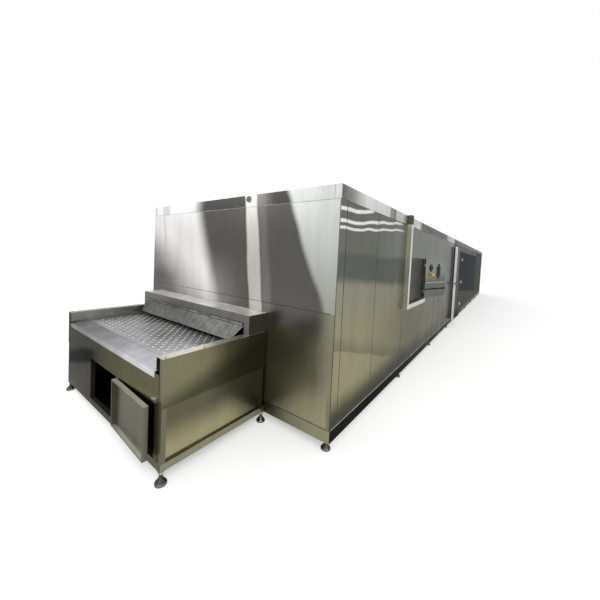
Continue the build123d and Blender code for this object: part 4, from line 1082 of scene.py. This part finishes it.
def on_panel(corners, reach):
    """The place in front of the middle of some corners, at a reach from the hinge."""
    centre = middle(corners)
    along = panel_along.dot(centre - panel_origin)
    point = panel_origin + panel_along * along + panel_out * reach
    point.z = centre.z
    return standing_on(point, panel_out)


lamps = sorted(islands("signal_lamps"), key=lambda corners: middle(corners).y)
knobs = sorted(islands("rotary_knobs"), key=lambda corners: middle(corners).y)
panel_face = min(reach_of(lamps[0]))
lamp_front = max(reach_of(lamps[0]))
print("panel stands ajar by", math.degrees(ajar))
print(len(lamps), "lamps and", len(knobs), "knobs")

# %% Lamp bezels and lenses
LAMP_RADIUS = 0.011
BEZEL_WIDTH = 0.004
BEZEL_RISE = 0.004
LIT_LAMP = 7
ON_PANEL = "control_panel"
bezel = shape_top(disc(20, LAMP_RADIUS + BEZEL_WIDTH, BEZEL_RISE), [
    (0.0015, 0.0008), (0.002, 0.0), (0.0005, -0.0015),
])
bezel_places = [on_panel(lamp, panel_face) for lamp in lamps]
copies(bezel, bezel_places, "lamp_bezels", black_plastic, ON_PANEL)


def lens_cap():
    """A low domed lens standing on Z = 0."""
    return shape_top(disc(16, LAMP_RADIUS, 0.001), [
        (0.0025, 0.0018), (0.003, 0.001), (0.003, 0.0003),
    ])


lens_places = [on_panel(lamp, lamp_front) for lamp in lamps]
lit_place = lens_places.pop(LIT_LAMP)
copies(lens_cap(), lens_places, "lamp_lenses", lamp_white, ON_PANEL)
copies(lens_cap(), [lit_place], "lit_lens", lamp_cyan, ON_PANEL)

# %% Dial plates under the knobs
dial = shape_top(disc(24, 0.021, 0.001), [(0.0015, 0.0006), (0.002, -0.0004)])
dial_places = [on_panel(knob, panel_face) for knob in knobs]
copies(dial, dial_places, "knob_dials", bright_steel, ON_PANEL)

# %% Frames round the displays
FRAME_REACH = 0.005


def display_frame(corners):
    """A raised frame round one display, made in place and turned onto the panel."""
    across = [panel_along.dot(corner - panel_origin) for corner in corners]
    levels = [corner.z for corner in corners]
    width = max(across) - min(across) + 2 * FRAME_REACH
    height = max(levels) - min(levels) + 2 * FRAME_REACH
    rise = max(reach_of(corners)) - panel_face
    piece = block((0, 0, rise / 2), (height, width, rise))
    shape_top(piece, [(0.0012, 0.0014), (0.0035, 0.0), (0.0008, -0.0022)])
    piece.matrix_basis = on_panel(corners, panel_face)
    apply_place(piece)
    return piece


frames = [display_frame(corners) for corners in islands("display_panels")]
only(frames)
bpy.ops.object.join()
settle(frames[0], "display_frames", black_plastic, ON_PANEL)

# %% Collar of the stop button
COLLAR_REACH = 0.01
collar = shape_top(disc(24, 0.03, 0.004), [(0.004, 0.002), (0.008, 0.0005)])
collar_place = on_panel(islands("stop_button")[0], panel_face + COLLAR_REACH)
copies(collar, [collar_place], "stop_collar", stop_red, ON_PANEL)

# %% [markdown]
# ### Hinge bolts of the access door
# Each strap hinge is bolted through the leaf. A bolt head is a six-sided cylinder whose
# top is inset and raised into the usual low chamfer.

# %% Bolts through the strap hinges
BOLT_RUNS = (0.07, 0.13, 0.19)
door_hinge = next(joint for joint in frame["joints"] if joint["name"] == "access_door_hinge")
hinge_x, hinge_y = door_hinge["pos_m"][:2]
strap_face = hinge_x + 0.001
bolt_places = [
    standing_on((strap_face, hinge_y - run, middle(hinge).z), ALONG)
    for hinge in islands("door_hinges") for run in BOLT_RUNS
]
bolt = shape_top(disc(6, 0.008, 0.004), [(0.001, 0.0008)])
copies(bolt, bolt_places, "strap_bolts", cabinet_steel, "access_door")

# %% [markdown]
# ### The catch over the service bay
# Over the right bay a small tab is folded out of the panel to catch the hatch. It is a thin
# block whose top strip of faces is extruded forwards.

# %% Tab over the bay
TAB_WIDTH = 0.05
TAB_HEIGHT = 0.036
TAB_SHEET = 0.003
TAB_INSET = 0.085
TAB_REACH = 0.02
end_panel_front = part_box("infeed_end_panel")[0].y
hatch_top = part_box("infeed_hatch")[1].z
tab = block((0, -TAB_SHEET / 2, TAB_HEIGHT / 2), (TAB_WIDTH, TAB_SHEET, TAB_HEIGHT))
push_out(
    tab, lambda face: face.normal.y < -0.9, 5,
    lambda face: face.center.z > TAB_HEIGHT * 5 / 6, (0, -TAB_REACH, 0),
)
tab_place = Matrix.Translation((guards_high.x - TAB_INSET, end_panel_front, hatch_top + 0.02))
copies(tab, [tab_place], "hatch_catch", hatch_steel)

# %% [markdown]
# ## Floor, backdrop and light
# The machine stands on a plain pale floor under broad soft lamps. Seen by the camera, in
# steel and through glass, the backdrop is plain white. The floor takes its lift to white
# from a little light of its own that only those rays see, so it keeps the shadow.

# %% Floor and light
def seen_rays(tree):
    """1 for camera, gloss and glass rays, and 0 for the rays that carry light."""
    rays = add_node(tree, "ShaderNodeLightPath")
    seen = rays.outputs["Is Camera Ray"]
    for kind in ("Is Glossy Ray", "Is Transmission Ray"):
        either = add_node(tree, "ShaderNodeMath", operation="MAXIMUM")
        tree.links.new(seen, either.inputs[0])
        tree.links.new(rays.outputs[kind], either.inputs[1])
        seen = either.outputs["Value"]
    return seen


FLOOR_SIZE = 160
FLOOR_TONE = 0.86
FLOOR_LIFT = 0.4
ROOM_LIGHT = 0.75
WHITE = (1, 1, 1, 1)
bpy.ops.object.select_all(action="DESELECT")
bpy.ops.mesh.primitive_plane_add(size=FLOOR_SIZE, location=(0, 0, 0))
floor = bpy.context.object
floor.name = "floor"
floor_white, tree, shader, place, normal = start_material("floor_white")
paleness = spread(tree, noise(tree, place, 0.4), FLOOR_TONE - 0.02, FLOOR_TONE + 0.02)
tree.links.new(grey_colour(tree, paleness), shader.inputs["Base Color"])
shader.inputs["Roughness"].default_value = 0.9
shader.inputs["Specular IOR Level"].default_value = 0.0
shader.inputs["Emission Color"].default_value = WHITE
tree.links.new(multiply(tree, seen_rays(tree), FLOOR_LIFT), shader.inputs["Emission Strength"])
floor.data.materials.append(floor_white)

world = bpy.data.worlds.new("studio")
scene.world = world
world.use_nodes = True
sky = world.node_tree
backdrop = sky.nodes["Background"]
white = add_node(sky, "ShaderNodeBackground")
for background, strength in ((backdrop, ROOM_LIGHT), (white, 1.0)):
    background.inputs["Color"].default_value = WHITE
    background.inputs["Strength"].default_value = strength
choice = add_node(sky, "ShaderNodeMixShader")
sky.links.new(seen_rays(sky), choice.inputs["Fac"])
sky.links.new(backdrop.outputs["Background"], choice.inputs[1])
sky.links.new(white.outputs["Background"], choice.inputs[2])
sky.links.new(choice.outputs["Shader"], sky.nodes["World Output"].inputs["Surface"])


def soft_lamp(name, place, aim, size, power):
    """A large square lamp aimed at a point."""
    light = bpy.data.lights.new(name, "AREA")
    light.size = size
    light.energy = power
    lamp = bpy.data.objects.new(name, light)
    scene.collection.objects.link(lamp)
    turn_to = (Vector(aim) - Vector(place)).to_track_quat("-Z", "Y").to_matrix().to_4x4()
    lamp.matrix_world = Matrix.Translation(place) @ turn_to


soft_lamp("key_lamp", (6, -13, 7), (0, -7, 1), 5, 300)
soft_lamp("fill_lamp", (-6, -13, 6), (0, -7, 1), 5, 180)
scene.view_settings.view_transform = "Standard"
